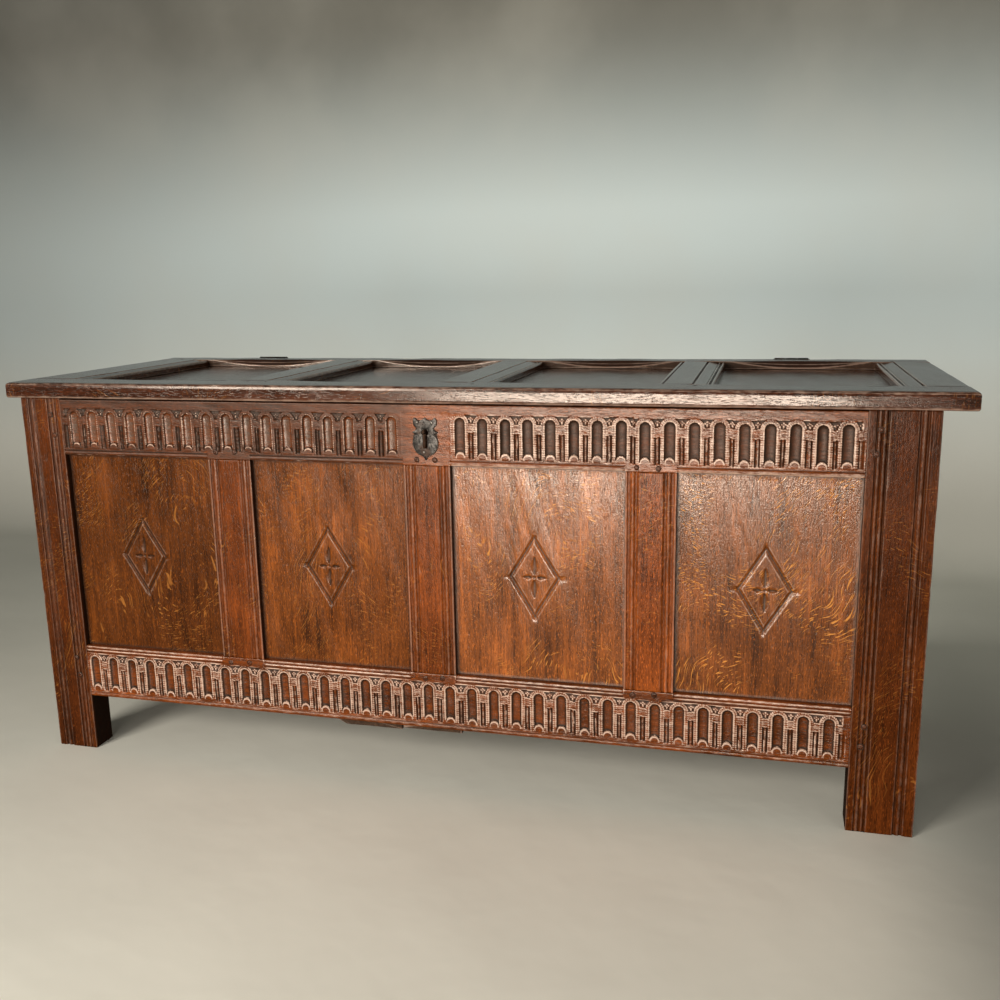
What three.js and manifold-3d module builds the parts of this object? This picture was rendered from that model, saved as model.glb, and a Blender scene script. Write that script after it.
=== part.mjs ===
// Joined oak coffer: carved front of four panels, panelled lid on iron hinges, iron chest lock.
// Millimetres, +Z up, the front faces -Y. The origin is under the middle of the chest, on the floor.

import * as THREE from 'three';
import { mergeGeometries, mergeVertices } from 'three/addons/utils/BufferGeometryUtils.js';
import Module from 'manifold-3d';

const wasm = await Module();
wasm.setup();

// Sizes of the body
const bodyWidth = 1540;
const bodyDepth = 537;
const postHeight = 670;
const legHeight = 107.5;
const footChamfer = 3;

// Fits and cutting allowances
const fit = 0.3;
const overrun = 5;
const weld = 0.001;

// Posts
const leftPostWidth = 80;
const rightPostWidth = 101;
const backPostWidth = 92;
const postThickness = 50;

// Joints shared by every frame
const grooveWidth = 7;
const grooveDepth = 9;
const panelTongue = 7;
const tenonInset = 14;
const muntinTenonInset = 12;

// Front frame
const frontThickness = 30;
const frontPanelSet = 12;
const frontTenonThickness = 9;
const frontTenonLength = 36;
const frontMuntinTenon = 25;
const frontMuntinWidth = 80;
const frontMuntinShares = [0.2386, 0.5016, 0.7698];
const topRailDrop = 2.5;
const topRailHeight = 99.5;
const bottomRailHeight = 99.5;
const panelThickness = 11;
const panelBevel = 25;

// Plain frames of the back and the ends
const plainThickness = 26;
const plainPanelSet = 9;
const plainTenonThickness = 8;
const plainTenonLength = 26;
const plainRailHeight = 86;
const plainMuntinWidth = 84;
const plainArrisWidth = 3;
const endSetBack = 3;
const backMuntinShares = [0.3333, 0.6667];
const endMuntinShares = [0.5];

// Run mouldings: each pair is a share of the width from its edge, and a share of the depth
const postMouldWidth = 18.4;
const postMouldDepth = 2.8;
const innerFlat = 11.4;
const outerFlat = 12.4;
const leftPostFlatShare = 0.79;
const innerMouldShares = [
  [0, 0], [0.05, 0.8], [0.11, 0.8], [0.17, 0.15], [0.3, 0.02], [0.42, 0.3],
  [0.47, 0.9], [0.55, 0.35], [0.68, 0.05], [0.8, 0.35], [0.88, 1], [0.97, 1], [1, 0],
];
const outerMouldShares = [
  [0, 0], [0.03, 0.35], [0.13, 0.05], [0.24, 0.35], [0.28, 1], [0.4, 1],
  [0.44, 0.4], [0.6, 0.05], [0.76, 0.4], [0.84, 0.9], [0.96, 0.9], [1, 0],
];
const muntinMouldWidth = 21.5;
const muntinMouldDepth = 2.6;
const muntinMouldShares = [
  [0, 0.35], [0.15, 0.3], [0.19, 1], [0.38, 1], [0.44, 0.4], [0.56, 0.05],
  [0.68, 0.35], [0.74, 0.85], [0.86, 0.85], [1, 0],
];
const railMouldWidth = 13;
const railMouldDepth = 2.6;
const topRailMouldShares = [
  [0, 1], [0.06, 0.5], [0.2, 0.12], [0.36, 0.02], [0.5, 0.15], [0.61, 0.5],
  [0.65, 0.95], [0.73, 0.95], [0.78, 0.1], [0.96, 0.1], [1, 0],
];
const bottomRailMouldShares = [
  [0, 1], [0.14, 0.55], [0.32, 0.4], [0.38, 1], [0.46, 1], [0.52, 0.35],
  [0.66, 0.05], [0.82, 0.35], [0.88, 0.85], [0.96, 0.85], [1, 0],
];
const lowerMouldWidth = 9;
const lowerMouldDepth = 2;
const lowerMouldShares = [[0, 0.8], [0.25, 0.25], [0.5, 0.1], [0.72, 0.4], [0.8, 1], [0.94, 1], [1, 0]];

// Arcade of round-headed flutes carved in the front rails
const archHeight = 72;
const archRadius = 14.3;
const nicheRadius = 9;
const nicheDepth = 4.5;
const nicheEdgeDepth = 0.5;
const nicheFoot = 3;
const lunetteRadius = 7.5;
const gougeSteps = 6;
const archSteps = 6;
const lunetteSteps = 4;
const gougeSpread = Math.PI / 3;
const slotWidth = 2.9;
const slotDepth = 2.4;
const reedWidth = 2.9;
const slotFlareShare = 0.3;
const capHeight = 14.5;
const spandrelDepth = 1.6;
const spandrelTopGap = 0.8;
const spandrelSteps = 3;
const topArcadeFoot = 12.5;
const topArcadePitch = 37.3;
const topArcadePostGap = 11;
const lockBlockWidth = 88;
const bottomArcadeFoot = 12.5;
const bottomArcadePitch = 38.6;
const bottomArcadeLeftGap = 1.6;
const bottomArcadeRightGap = 16.8;

// Lozenges cut in the front panels
const lozengeWidth = 80.5;
const lozengeHeight = 133;
const lozengeDrop = 3;
const lozengeGroove = 9;
const lozengeDepth = 3;
const lozengeShares = [0.477, 0.473, 0.477, 0.501];

// Bottom boards, laid from front to back
const boardRebateDepth = 16;
const boardRebateHeight = 13;
const boardThickness = 16;
const thickBoardThickness = 28;
const secondBoardThickness = 25;
const thickBoardStart = 577;
const thickBoardWidth = 120;
const secondBoardWidth = 109;
const boardCountBefore = 3;
const boardCountAfter = 3;
const boardWane = 14;

// Lid
const lidThickness = 28;
const lidOverhangLeft = 20;
const lidOverhangRight = 46;
const lidOverhangFront = 12;
const lidFrontRailWidth = 75;
const lidBackRailWidth = 52;
const lidLeftRailWidth = 120;
const lidRightRailWidth = 98;
const lidMuntinWidth = 88;
const lidMuntinShares = [0.2475, 0.5122, 0.7709];
const lidPanelSet = 15;
const lidPanelThickness = 10;
const lidTenonThickness = 8;
const lidTenonLength = 34;
const lidMouldWidth = 24;
const lidNoseRadius = 6;
const lidUnderRadius = 4;
const noseSteps = 3;
const lidChamfer = 13;
const lidChamferShare = 0.94;
const chamferSteps = 10;

// Hinges
const hingeFromEnd = 248;
const hingeWidth = 64;
const leafThickness = 2.5;
const barrelRadius = 6;
const hingePinRadius = 2.6;
const pinHeadRadius = 4;
const pinHeadLength = 2;
const pinRise = 4;
const knuckleGap = 0.5;
const barrelSides = 16;
const lidLeafHeight = 17;
const strapLength = 118;
const strapTipWidth = 26;
const leafRise = 6.5;

// Lock
const lockHeight = 54.5;
const lockPlateWidth = 44;
const lockPlateHeight = 71;
const lockPlateThickness = 2;
const keyholeRadius = 5.7;
const keyholeSlotWidth = 7.4;
const keyholeDrop = 26;
const keyholeSteps = 10;
const caseWidth = 122;
const caseHeight = 80;
const caseDepth = 23;
const caseWall = 2.2;
const caseFlange = 13;
const caseTopGap = 3.5;
const caseCorner = 8;
const caseEarSteps = 4;
const boltHeight = 9;
const boltThickness = 4.6;
const boltLength = 52;
const boltBelowTop = 20;
const boltTipGap = 3;
const boltNotch = 4;
const boltNotchWidth = 9;
const guideThickness = 4;
const guideInset = 8;
const loopThickness = 5;
const loopWidth = 13;
const loopWall = 3.4;
const loopPlay = 1;
const loopSwing = 3;
const haspLength = 54;
const haspDepth = 26;
const haspThickness = 1.8;

// Places worked out from the sizes
const postTop = postHeight;
const topRailTop = postTop - topRailDrop;
const topRailBottom = topRailTop - topRailHeight;
const bottomRailTop = legHeight + bottomRailHeight;
const frontOpeningLeft = leftPostWidth;
const frontOpeningRight = bodyWidth - rightPostWidth;
const lidBottom = postTop + fit;
const lidTop = lidBottom + lidThickness;
const lidLeft = -lidOverhangLeft;
const lidRight = bodyWidth + lidOverhangRight;
const lidFront = -lidOverhangFront;
const lidBack = bodyDepth - leafThickness - fit;
const hingeAxisY = lidBack + fit + barrelRadius;
const hingeAxisZ = lidTop - pinRise;
const lockCentreX = frontOpeningLeft + frontMuntinShares[1] * (frontOpeningRight - frontOpeningLeft);
const lockCentreZ = topRailBottom + lockHeight;
const boxBack = hingeAxisY + barrelRadius;

// Materials
const frontOak = { color: 0x6b3318, roughness: 0.42, metalness: 0 };
const panelOak = { color: 0x73381a, roughness: 0.4, metalness: 0 };
const lidOak = { color: 0x3a2720, roughness: 0.35, metalness: 0 };
const insideOak = { color: 0x5e4028, roughness: 0.7, metalness: 0 };
const iron = { color: 0x2b2a29, roughness: 0.55, metalness: 0.8 };

// Shapes and booleans. Every piece is drawn in a frame of its own wall:
// u runs to the right, v runs up (or to the back on the lid), and w points out of the face.

function shapeOf(points) {
  return new THREE.Shape(points.map(([a, b]) => new THREE.Vector2(a, b)));
}

function extruded(shape, from, to, steps = 1) {
  const outline = Array.isArray(shape) ? shapeOf(shape) : shape;
  const geometry = new THREE.ExtrudeGeometry(outline, {
    depth: to - from,
    bevelEnabled: false,
    curveSegments: steps,
  });
  return geometry.translate(0, 0, from);
}

// A stick along u with its section in v and w
function alongU(section, from, to) {
  const turn = new THREE.Matrix4().set(0, 0, 1, 0, 1, 0, 0, 0, 0, 1, 0, 0, 0, 0, 0, 1);
  return extruded(section, from, to).applyMatrix4(turn);
}

// A stick along v with its section in u and w
function alongV(section, from, to) {
  const turn = new THREE.Matrix4().set(0, 1, 0, 0, 0, 0, 1, 0, 1, 0, 0, 0, 0, 0, 0, 1);
  return extruded(section.map(([u, w]) => [w, u]), from, to).applyMatrix4(turn);
}

// A plate seen from the front, with its thickness along w
function alongW(outline, from, to, steps = 1) {
  return extruded(outline, from, to, steps);
}

function block([u0, u1], [v0, v1], [w0, w1]) {
  const geometry = new THREE.BoxGeometry(Math.abs(u1 - u0), Math.abs(v1 - v0), Math.abs(w1 - w0));
  return geometry.translate((u0 + u1) / 2, (v0 + v1) / 2, (w0 + w1) / 2);
}

function solid(geometry) {
  const bare = new THREE.BufferGeometry();
  bare.setAttribute('position', geometry.attributes.position.clone());
  bare.setIndex(geometry.index);
  const merged = mergeVertices(bare, weld);
  return new wasm.Manifold(new wasm.Mesh({
    numProp: 3,
    vertProperties: merged.attributes.position.array,
    triVerts: new Uint32Array(merged.index.array),
  }));
}

function surface(manifold) {
  const mesh = manifold.getMesh();
  const geometry = new THREE.BufferGeometry();
  geometry.setAttribute('position', new THREE.BufferAttribute(mesh.vertProperties, 3));
  geometry.setIndex(new THREE.BufferAttribute(mesh.triVerts, 1));
  return geometry;
}

// Joins the pieces, then takes the cuts away
function worked(pieces, cuts = []) {
  const joined = pieces.map(solid).reduce((whole, piece) => whole.add(piece));
  return surface(cuts.map(solid).reduce((whole, tool) => whole.subtract(tool), joined));
}

function common(first, second) {
  return surface(solid(first).intersect(solid(second)));
}

// Copies of one closed cutter, at each place, as one geometry
function copies(cutter, places) {
  return mergeGeometries(places.map(([u, v]) => cutter.clone().translate(u, v, 0)));
}

function arc(centreA, centreB, radius, start, end, steps) {
  const points = [];
  for (let step = 0; step <= steps; step += 1) {
    const angle = start + (end - start) * step / steps;
    points.push([centreA + radius * Math.cos(angle), centreB + radius * Math.sin(angle)]);
  }
  return points;
}

function rectangle([a0, a1], [b0, b1]) {
  return [[a0, b0], [a1, b0], [a1, b1], [a0, b1]];
}

// Points of a moulding from its edge inwards, in the face's plane w = -face
function mouldPoints(edge, direction, shares, width, depth, face = 0) {
  return shares.map(([across, sunk]) => [edge + direction * across * width, -face - sunk * depth]);
}

// Section of the wood that a moulding plane takes away
function mouldVoid(edge, direction, shares, width, depth) {
  const points = mouldPoints(edge, direction, shares, width, depth);
  const outside = edge - direction * overrun;
  return [[outside, overrun], [outside, points[0][1]], ...points, [edge + direction * width, overrun]];
}

// Walls: where a frame's face, grooves and tenons lie

function wallOf(face, thickness, set, tenonThickness, tenonLength, muntinTenon) {
  return {
    face,
    back: -face - thickness,
    groove: [-face - set - grooveWidth, -face - set],
    tenon: [-face - set - tenonThickness, -face - set],
    mortise: [-face - set - tenonThickness - fit, -face - set + fit],
    panelFace: -face - set - fit,
    tenonLength,
    muntinTenon,
  };
}

const frontWall = wallOf(0, frontThickness, frontPanelSet, frontTenonThickness, frontTenonLength, frontMuntinTenon);
const backWall = wallOf(0, plainThickness, plainPanelSet, plainTenonThickness, plainTenonLength, plainTenonLength);
const endWall = wallOf(
  endSetBack, plainThickness, plainPanelSet, plainTenonThickness, plainTenonLength, plainTenonLength,
);
const lidWall = wallOf(0, lidThickness, lidPanelSet, lidTenonThickness, lidTenonLength, lidTenonLength);

function muntinSpans([left, right], shares, width) {
  return shares.map((share) => {
    const centre = left + share * (right - left);
    return [centre - width / 2, centre + width / 2];
  });
}

function panelSpans([left, right], muntins) {
  const edges = [left, ...muntins.flat(), right];
  const spans = [];
  for (let index = 0; index < edges.length; index += 2) {
    spans.push([edges[index], edges[index + 1]]);
  }
  return spans;
}

// Section of a rail, in v and w, with a panel groove in its low or high edge
function railSection(wall, [low, high], grooveAt, rebate = 0) {
  const [deep, near] = wall.groove;
  const lowGroove = [[low, deep], [low + grooveDepth, deep], [low + grooveDepth, near], [low, near]];
  const highGroove = [[high, near], [high - grooveDepth, near], [high - grooveDepth, deep], [high, deep]];
  const lowBack = rebate > 0
    ? [[low + rebate, wall.back], [low + rebate, wall.back + boardRebateDepth], [low, wall.back + boardRebateDepth]]
    : [[low, wall.back]];
  return [
    [low, -wall.face],
    [high, -wall.face],
    ...(grooveAt === 'high' ? highGroove : []),
    [high, wall.back],
    ...lowBack,
    ...(grooveAt === 'low' ? lowGroove : []),
  ];
}

// A rail between two shoulders, with a tenon at each end and mortises for its muntins
function rail(wall, section, [low, high], [left, right], muntins, grooveAt, extraCuts = []) {
  const core = rectangle([low + tenonInset, high - tenonInset], wall.tenon);
  const edge = grooveAt === 'low' ? low : high;
  const inward = grooveAt === 'low' ? 1 : -1;
  const mortises = muntins.map(([from, to]) => block(
    [from + muntinTenonInset - fit, to - muntinTenonInset + fit],
    [edge - inward * overrun, edge + inward * (wall.muntinTenon + fit)],
    wall.mortise,
  ));
  return worked([
    alongU(section, left + fit, right - fit),
    alongU(core, left - wall.tenonLength, right + wall.tenonLength),
  ], [...mortises, ...extraCuts]);
}

// Section of an upright between two panels, in u and w
function muntinSection(wall, [left, right], mould) {
  const [deep, near] = wall.groove;
  const face = mould
    ? [
      ...mouldPoints(left, 1, muntinMouldShares, mould, muntinMouldDepth, wall.face),
      ...mouldPoints(right, -1, muntinMouldShares, mould, muntinMouldDepth, wall.face).reverse(),
    ]
    : [
      [left, -wall.face - plainArrisWidth], [left + plainArrisWidth, -wall.face],
      [right - plainArrisWidth, -wall.face], [right, -wall.face - plainArrisWidth],
    ];
  return [
    ...face,
    [right, near], [right - grooveDepth, near], [right - grooveDepth, deep], [right, deep],
    [right, wall.back],
    [left, wall.back],
    [left, deep], [left + grooveDepth, deep], [left + grooveDepth, near], [left, near],
  ];
}

// A muntin between two rails, with a tenon at each end
function muntin(wall, [left, right], [low, high], mould = 0) {
  const core = rectangle([left + muntinTenonInset, right - muntinTenonInset], wall.tenon);
  return worked([
    alongV(muntinSection(wall, [left, right], mould), low + fit, high - fit),
    alongV(core, low - wall.muntinTenon, high + wall.muntinTenon),
  ]);
}

// Section of a panel across its width: flat face, thin tongues, bevelled back
function panelSection(wall, [low, high], thickness) {
  const face = wall.panelFace;
  const tongueBack = wall.groove[0] + fit;
  const back = face - thickness;
  const edgeLow = low - panelTongue;
  const edgeHigh = high + panelTongue;
  return [
    [edgeLow, face],
    [edgeHigh, face],
    [edgeHigh, tongueBack],
    [edgeHigh - grooveDepth, tongueBack],
    [edgeHigh - grooveDepth - panelBevel, back],
    [edgeLow + grooveDepth + panelBevel, back],
    [edgeLow + grooveDepth, tongueBack],
    [edgeLow, tongueBack],
  ];
}

function panel(wall, [left, right], [low, high], thickness = panelThickness, cuts = []) {
  const across = alongV(panelSection(wall, [left, right], thickness), low - panelTongue, high + panelTongue);
  const upright = alongU(panelSection(wall, [low, high], thickness), left - panelTongue, right + panelTongue);
  return worked([common(across, upright)], cuts);
}

// Section of a front post in u and w, drawn from its inner edge
function mouldedPostSection(inner, outer) {
  const outward = Math.sign(outer - inner);
  const flatShare = outward < 0 ? leftPostFlatShare : 1;
  const innerStart = inner + outward * innerFlat * flatShare;
  const outerStart = outer - outward * outerFlat * flatShare;
  return [
    [inner, 0],
    ...mouldPoints(innerStart, outward, innerMouldShares, postMouldWidth, postMouldDepth),
    ...mouldPoints(outerStart, -outward, outerMouldShares, postMouldWidth, postMouldDepth).reverse(),
    [outer, 0],
    [outer, -postThickness],
    [inner, -postThickness],
  ];
}

function plainPostSection(inner, outer) {
  const outward = Math.sign(outer - inner);
  return [
    [inner, 0], [outer - outward * plainArrisWidth, 0], [outer, -plainArrisWidth],
    [outer, -postThickness], [inner, -postThickness],
  ];
}

// The foot's four lower arrises, planed off
function footCuts([left, right]) {
  const across = [[-overrun, overrun], [footChamfer, overrun], [-overrun, -footChamfer - overrun]];
  const low = across.map(([v, w]) => [v, w]);
  const front = alongU(low, left - overrun, right + overrun);
  const rear = alongU(low.map(([v, w]) => [v, -postThickness - w]), left - overrun, right + overrun);
  const sides = [[left, -1], [right, 1]].map(([edge, outward]) => alongW(
    [
      [edge + outward * overrun, footChamfer + overrun],
      [edge + outward * overrun, -overrun],
      [edge - outward * (footChamfer + overrun), -overrun],
    ],
    -postThickness - overrun,
    overrun,
  ));
  return [front, rear, ...sides];
}

// Mortises and grooves of one corner post. Its wall's rails meet its inner edge,
// and the end frame's rails meet its back.
function postCuts(wall, inner, outer, rails) {
  const outward = Math.sign(outer - inner);
  const span = [rails[0][1] - tenonInset, rails[1][0] + tenonInset];
  const endSpan = [endRails[0][1] - tenonInset, endRails[1][0] + tenonInset];
  const fromOuter = (depth) => outer + outward * depth;
  const cuts = [
    block([inner - outward * overrun, inner + outward * grooveDepth], span, wall.groove),
    block(endWall.groove.map(fromOuter), endSpan, [-postThickness - overrun, -postThickness + grooveDepth]),
  ];
  for (const [low, high] of rails) {
    const tenon = [low + tenonInset - fit, high - tenonInset + fit];
    const depth = wall.tenonLength + fit;
    cuts.push(block([inner - outward * overrun, inner + outward * depth], tenon, wall.mortise));
  }
  for (const [low, high] of endRails) {
    const tenon = [low + tenonInset - fit, high - tenonInset + fit];
    const depth = endWall.tenonLength + fit;
    cuts.push(block(endWall.mortise.map(fromOuter), tenon, [-postThickness - overrun, -postThickness + depth]));
  }
  return cuts;
}

const frontRails = [[legHeight, bottomRailTop], [topRailBottom, topRailTop]];
const plainRails = [[legHeight, legHeight + plainRailHeight], [postTop - plainRailHeight, postTop]];
const endRails = plainRails;

function cornerPost(wall, section, inner, outer, rails) {
  const span = [Math.min(inner, outer), Math.max(inner, outer)];
  return worked([alongV(section, 0, postTop)], [...postCuts(wall, inner, outer, rails), ...footCuts(span)]);
}

// Carving of the arcades

// Centres of the arches of one run: as many as the pitch gives, spread evenly between its two ends
function archCentres([left, right], nearestPitch) {
  const span = right - left - 2 * archRadius;
  const gaps = Math.round(span / nearestPitch);
  return Array.from({ length: gaps + 1 }, (_, index) => left + archRadius + index * span / gaps);
}

// One flute: a round-headed outline over a small lunette, hollowed like a gouge cut
function nicheCut() {
  const springing = archHeight - archRadius;
  const outline = [
    [nicheRadius, nicheFoot],
    ...arc(0, springing, nicheRadius, 0, Math.PI, archSteps),
    [-nicheRadius, nicheFoot],
    ...arc(0, nicheFoot, lunetteRadius, Math.PI, 0, lunetteSteps),
  ];
  const sagitta = nicheDepth - nicheEdgeDepth;
  const gougeRadius = (nicheRadius ** 2 + sagitta ** 2) / (2 * sagitta);
  const gougeCentre = gougeRadius - nicheDepth;
  const start = -Math.PI / 2 - gougeSpread;
  const sweep = arc(0, gougeCentre, gougeRadius, start, start + 2 * gougeSpread, gougeSteps);
  const gouge = [...sweep, [sweep[gougeSteps][0], overrun], [sweep[0][0], overrun]];
  return common(alongW(outline, -nicheDepth - overrun, overrun), alongV(gouge, -overrun, archHeight));
}

// The pair of narrow grooves that leaves a reed between two arches
function slotCut() {
  const half = slotWidth / 2;
  const flare = 1 + slotFlareShare;
  const centre = (reedWidth + slotWidth) / 2;
  const height = archHeight - archRadius - capHeight;
  const groove = (middle) => alongV(
    [[middle - half * flare, slotDepth * slotFlareShare], [middle, -slotDepth],
      [middle + half * flare, slotDepth * slotFlareShare]],
    0,
    height,
  );
  return mergeGeometries([groove(-centre), groove(centre)]);
}

// The sunk ground between the heads of two arches, half a pitch to each side
function spandrelCut(pitch, sides = [-1, 1]) {
  const springing = archHeight - archRadius;
  const top = archHeight - spandrelTopGap;
  const reach = Math.asin((top - springing) / (archRadius + nicheEdgeDepth));
  const side = (direction) => arc(
    direction * pitch / 2, springing, archRadius + nicheEdgeDepth,
    direction > 0 ? Math.PI : 0, direction > 0 ? Math.PI - reach : reach, spandrelSteps,
  );
  const right = sides.includes(1) ? side(1) : [[0, springing], [0, top]];
  const left = sides.includes(-1) ? side(-1).reverse() : [[0, top], [0, springing]];
  return alongW([...right, ...left], -spandrelDepth, overrun);
}

// All the cutters of one run of arches
function arcadeCuts(run, nearestPitch, foot, ends) {
  const centres = archCentres(run, nearestPitch);
  const pitch = centres[1] - centres[0];
  const between = centres.slice(1).map((centre) => centre - pitch / 2);
  const first = ends.includes('left') ? [centres[0] - pitch / 2] : [];
  const last = ends.includes('right') ? [centres[centres.length - 1] + pitch / 2] : [];
  const at = (places) => places.map((u) => [u, foot]);
  const cuts = [
    copies(nicheCut(), at(centres)),
    copies(slotCut(), at([...first, ...between, ...last])),
    copies(spandrelCut(pitch), at(between)),
  ];
  if (first.length > 0) {
    cuts.push(copies(spandrelCut(pitch, [1]), at(first)));
  }
  if (last.length > 0) {
    cuts.push(copies(spandrelCut(pitch, [-1]), at(last)));
  }
  return cuts;
}

// Run mouldings of a rail, stopped at each muntin
function railMouldCuts(edge, direction, shares, spans) {
  const section = mouldVoid(edge, direction, shares, railMouldWidth, railMouldDepth);
  return spans.map(([left, right]) => alongU(section, left, right));
}

function keyholeOutline() {
  const half = keyholeSlotWidth / 2;
  const meet = Math.asin(half / keyholeRadius);
  return [
    [-half, -keyholeDrop],
    [half, -keyholeDrop],
    ...arc(0, 0, keyholeRadius, -Math.PI / 2 + meet, 3 * Math.PI / 2 - meet, keyholeSteps),
  ];
}

// Front frame

const frontOpening = [frontOpeningLeft, frontOpeningRight];
const frontMuntins = muntinSpans(frontOpening, frontMuntinShares, frontMuntinWidth);
const frontPanels = panelSpans(frontOpening, frontMuntins);

function frontTopRail() {
  const span = [topRailBottom, topRailTop];
  const foot = topRailBottom + topArcadeFoot;
  const blockHalf = lockBlockWidth / 2;
  const leftRun = [frontOpeningLeft + topArcadePostGap, lockCentreX - blockHalf];
  const rightRun = [lockCentreX + blockHalf, frontOpeningRight - topArcadePostGap];
  const keyhole = alongW(keyholeOutline(), frontWall.back - overrun, overrun);
  return rail(frontWall, railSection(frontWall, span, 'low'), span, frontOpening, frontMuntins, 'low', [
    ...railMouldCuts(topRailBottom, 1, topRailMouldShares, frontPanels),
    ...arcadeCuts(leftRun, topArcadePitch, foot, ['left']),
    ...arcadeCuts(rightRun, topArcadePitch, foot, ['right']),
    keyhole.translate(lockCentreX, lockCentreZ, 0),
  ]);
}

function frontBottomRail() {
  const span = [legHeight, bottomRailTop];
  const run = [frontOpeningLeft + bottomArcadeLeftGap, frontOpeningRight - bottomArcadeRightGap];
  const lower = mouldVoid(legHeight, 1, lowerMouldShares, lowerMouldWidth, lowerMouldDepth);
  const section = railSection(frontWall, span, 'high', boardRebateHeight);
  return rail(frontWall, section, span, frontOpening, frontMuntins, 'high', [
    ...railMouldCuts(bottomRailTop, -1, bottomRailMouldShares, frontPanels),
    alongU(lower, frontOpeningLeft - overrun, frontOpeningRight + overrun),
    ...arcadeCuts(run, bottomArcadePitch, legHeight + bottomArcadeFoot, ['right']),
  ]);
}

// V-grooves along the four sides of a lozenge
function lozengeCuts(centreU, centreV) {
  const halfWidth = lozengeWidth / 2;
  const halfHeight = lozengeHeight / 2;
  const side = Math.hypot(halfWidth, halfHeight);
  const lean = Math.atan2(halfHeight, halfWidth);
  const face = frontWall.panelFace;
  const groove = [
    [-lozengeGroove, face + lozengeDepth],
    [0, face - lozengeDepth],
    [lozengeGroove, face + lozengeDepth],
  ];
  const reach = side / 2 + lozengeGroove / 2;
  return [[1, 1], [1, -1], [-1, 1], [-1, -1]].map(([right, up]) => alongV(groove, -reach, reach)
    .rotateZ(right * up * (Math.PI / 2 - lean))
    .translate(centreU + right * halfWidth / 2, centreV + up * halfHeight / 2, 0));
}

function frontPanel(index) {
  const [left, right] = frontPanels[index];
  const centreU = left + lozengeShares[index] * (right - left);
  const centreV = (bottomRailTop + topRailBottom) / 2 - lozengeDrop;
  return panel(
    frontWall, [left, right], [bottomRailTop, topRailBottom], panelThickness, lozengeCuts(centreU, centreV),
  );
}

// The named meshes of the chest, each in a group that sets its wall in place

const chest = new THREE.Group();

function wallGroup(right, up, out, position) {
  const group = new THREE.Group();
  const turn = new THREE.Matrix4().makeBasis(
    new THREE.Vector3(...right), new THREE.Vector3(...up), new THREE.Vector3(...out),
  );
  group.quaternion.setFromRotationMatrix(turn);
  group.position.set(...position);
  chest.add(group);
  return group;
}

function place(group, name, geometry, finish) {
  const flat = geometry.index ? geometry.toNonIndexed() : geometry;
  flat.computeVertexNormals();
  const mesh = new THREE.Mesh(flat, new THREE.MeshStandardMaterial({ ...finish, flatShading: true }));
  mesh.name = name;
  group.add(mesh);
}

function buildFront() {
  const front = wallGroup([1, 0, 0], [0, 0, 1], [0, -1, 0], [0, 0, 0]);
  const openings = [bottomRailTop, topRailBottom];
  place(front, 'front_post_left', cornerPost(
    frontWall, mouldedPostSection(leftPostWidth, 0), leftPostWidth, 0, frontRails,
  ), frontOak);
  place(front, 'front_post_right', cornerPost(
    frontWall, mouldedPostSection(frontOpeningRight, bodyWidth), frontOpeningRight, bodyWidth, frontRails,
  ), frontOak);
  place(front, 'front_top_rail', frontTopRail(), frontOak);
  place(front, 'front_bottom_rail', frontBottomRail(), frontOak);
  frontMuntins.forEach((span, index) => {
    place(front, `front_muntin_${index + 1}`, muntin(frontWall, span, openings, muntinMouldWidth), frontOak);
  });
  frontPanels.forEach((span, index) => {
    place(front, `front_panel_${index + 1}`, frontPanel(index), panelOak);
  });
}

// Rails, muntins and panels of a plain frame
function plainFrame(group, prefix, wall, opening, shares, rebate, finish) {
  const [lower, upper] = plainRails;
  const muntins = muntinSpans(opening, shares, plainMuntinWidth);
  const inside = [lower[1], upper[0]];
  place(group, `${prefix}_top_rail`, rail(
    wall, railSection(wall, upper, 'low'), upper, opening, muntins, 'low',
  ), finish);
  place(group, `${prefix}_bottom_rail`, rail(
    wall, railSection(wall, lower, 'high', rebate), lower, opening, muntins, 'high',
  ), finish);
  muntins.forEach((span, index) => {
    const label = muntins.length > 1 ? `_${index + 1}` : '';
    place(group, `${prefix}_muntin${label}`, muntin(wall, span, inside), finish);
  });
  panelSpans(opening, muntins).forEach((span, index) => {
    place(group, `${prefix}_panel_${index + 1}`, panel(wall, span, inside), finish);
  });
}

function buildBack() {
  const back = wallGroup([-1, 0, 0], [0, 0, 1], [0, 1, 0], [bodyWidth, bodyDepth, 0]);
  const far = bodyWidth - backPostWidth;
  place(back, 'back_post_right', cornerPost(
    backWall, plainPostSection(backPostWidth, 0), backPostWidth, 0, plainRails,
  ), frontOak);
  place(back, 'back_post_left', cornerPost(
    backWall, plainPostSection(far, bodyWidth), far, bodyWidth, plainRails,
  ), frontOak);
  plainFrame(back, 'back', backWall, [backPostWidth, far], backMuntinShares, boardRebateHeight, frontOak);
}

function buildEnds() {
  const opening = [postThickness, bodyDepth - postThickness];
  const left = wallGroup([0, -1, 0], [0, 0, 1], [-1, 0, 0], [0, bodyDepth, 0]);
  const right = wallGroup([0, 1, 0], [0, 0, 1], [1, 0, 0], [bodyWidth, 0, 0]);
  plainFrame(left, 'left_end', endWall, opening, endMuntinShares, 0, frontOak);
  plainFrame(right, 'right_end', endWall, opening, endMuntinShares, 0, frontOak);
}

// Bottom boards, in x, y and z of the chest

function board([left, right], thickness, wane, cuts) {
  const top = legHeight + boardRebateHeight - fit;
  const front = frontThickness - boardRebateDepth + fit;
  const back = bodyDepth - plainThickness + boardRebateDepth - fit;
  const section = [
    [left, top - thickness + wane / 2], [left + wane, top - thickness],
    [right, top - thickness], [right, top], [left, top],
  ];
  return worked([alongV(section, front, back)], cuts);
}

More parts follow.
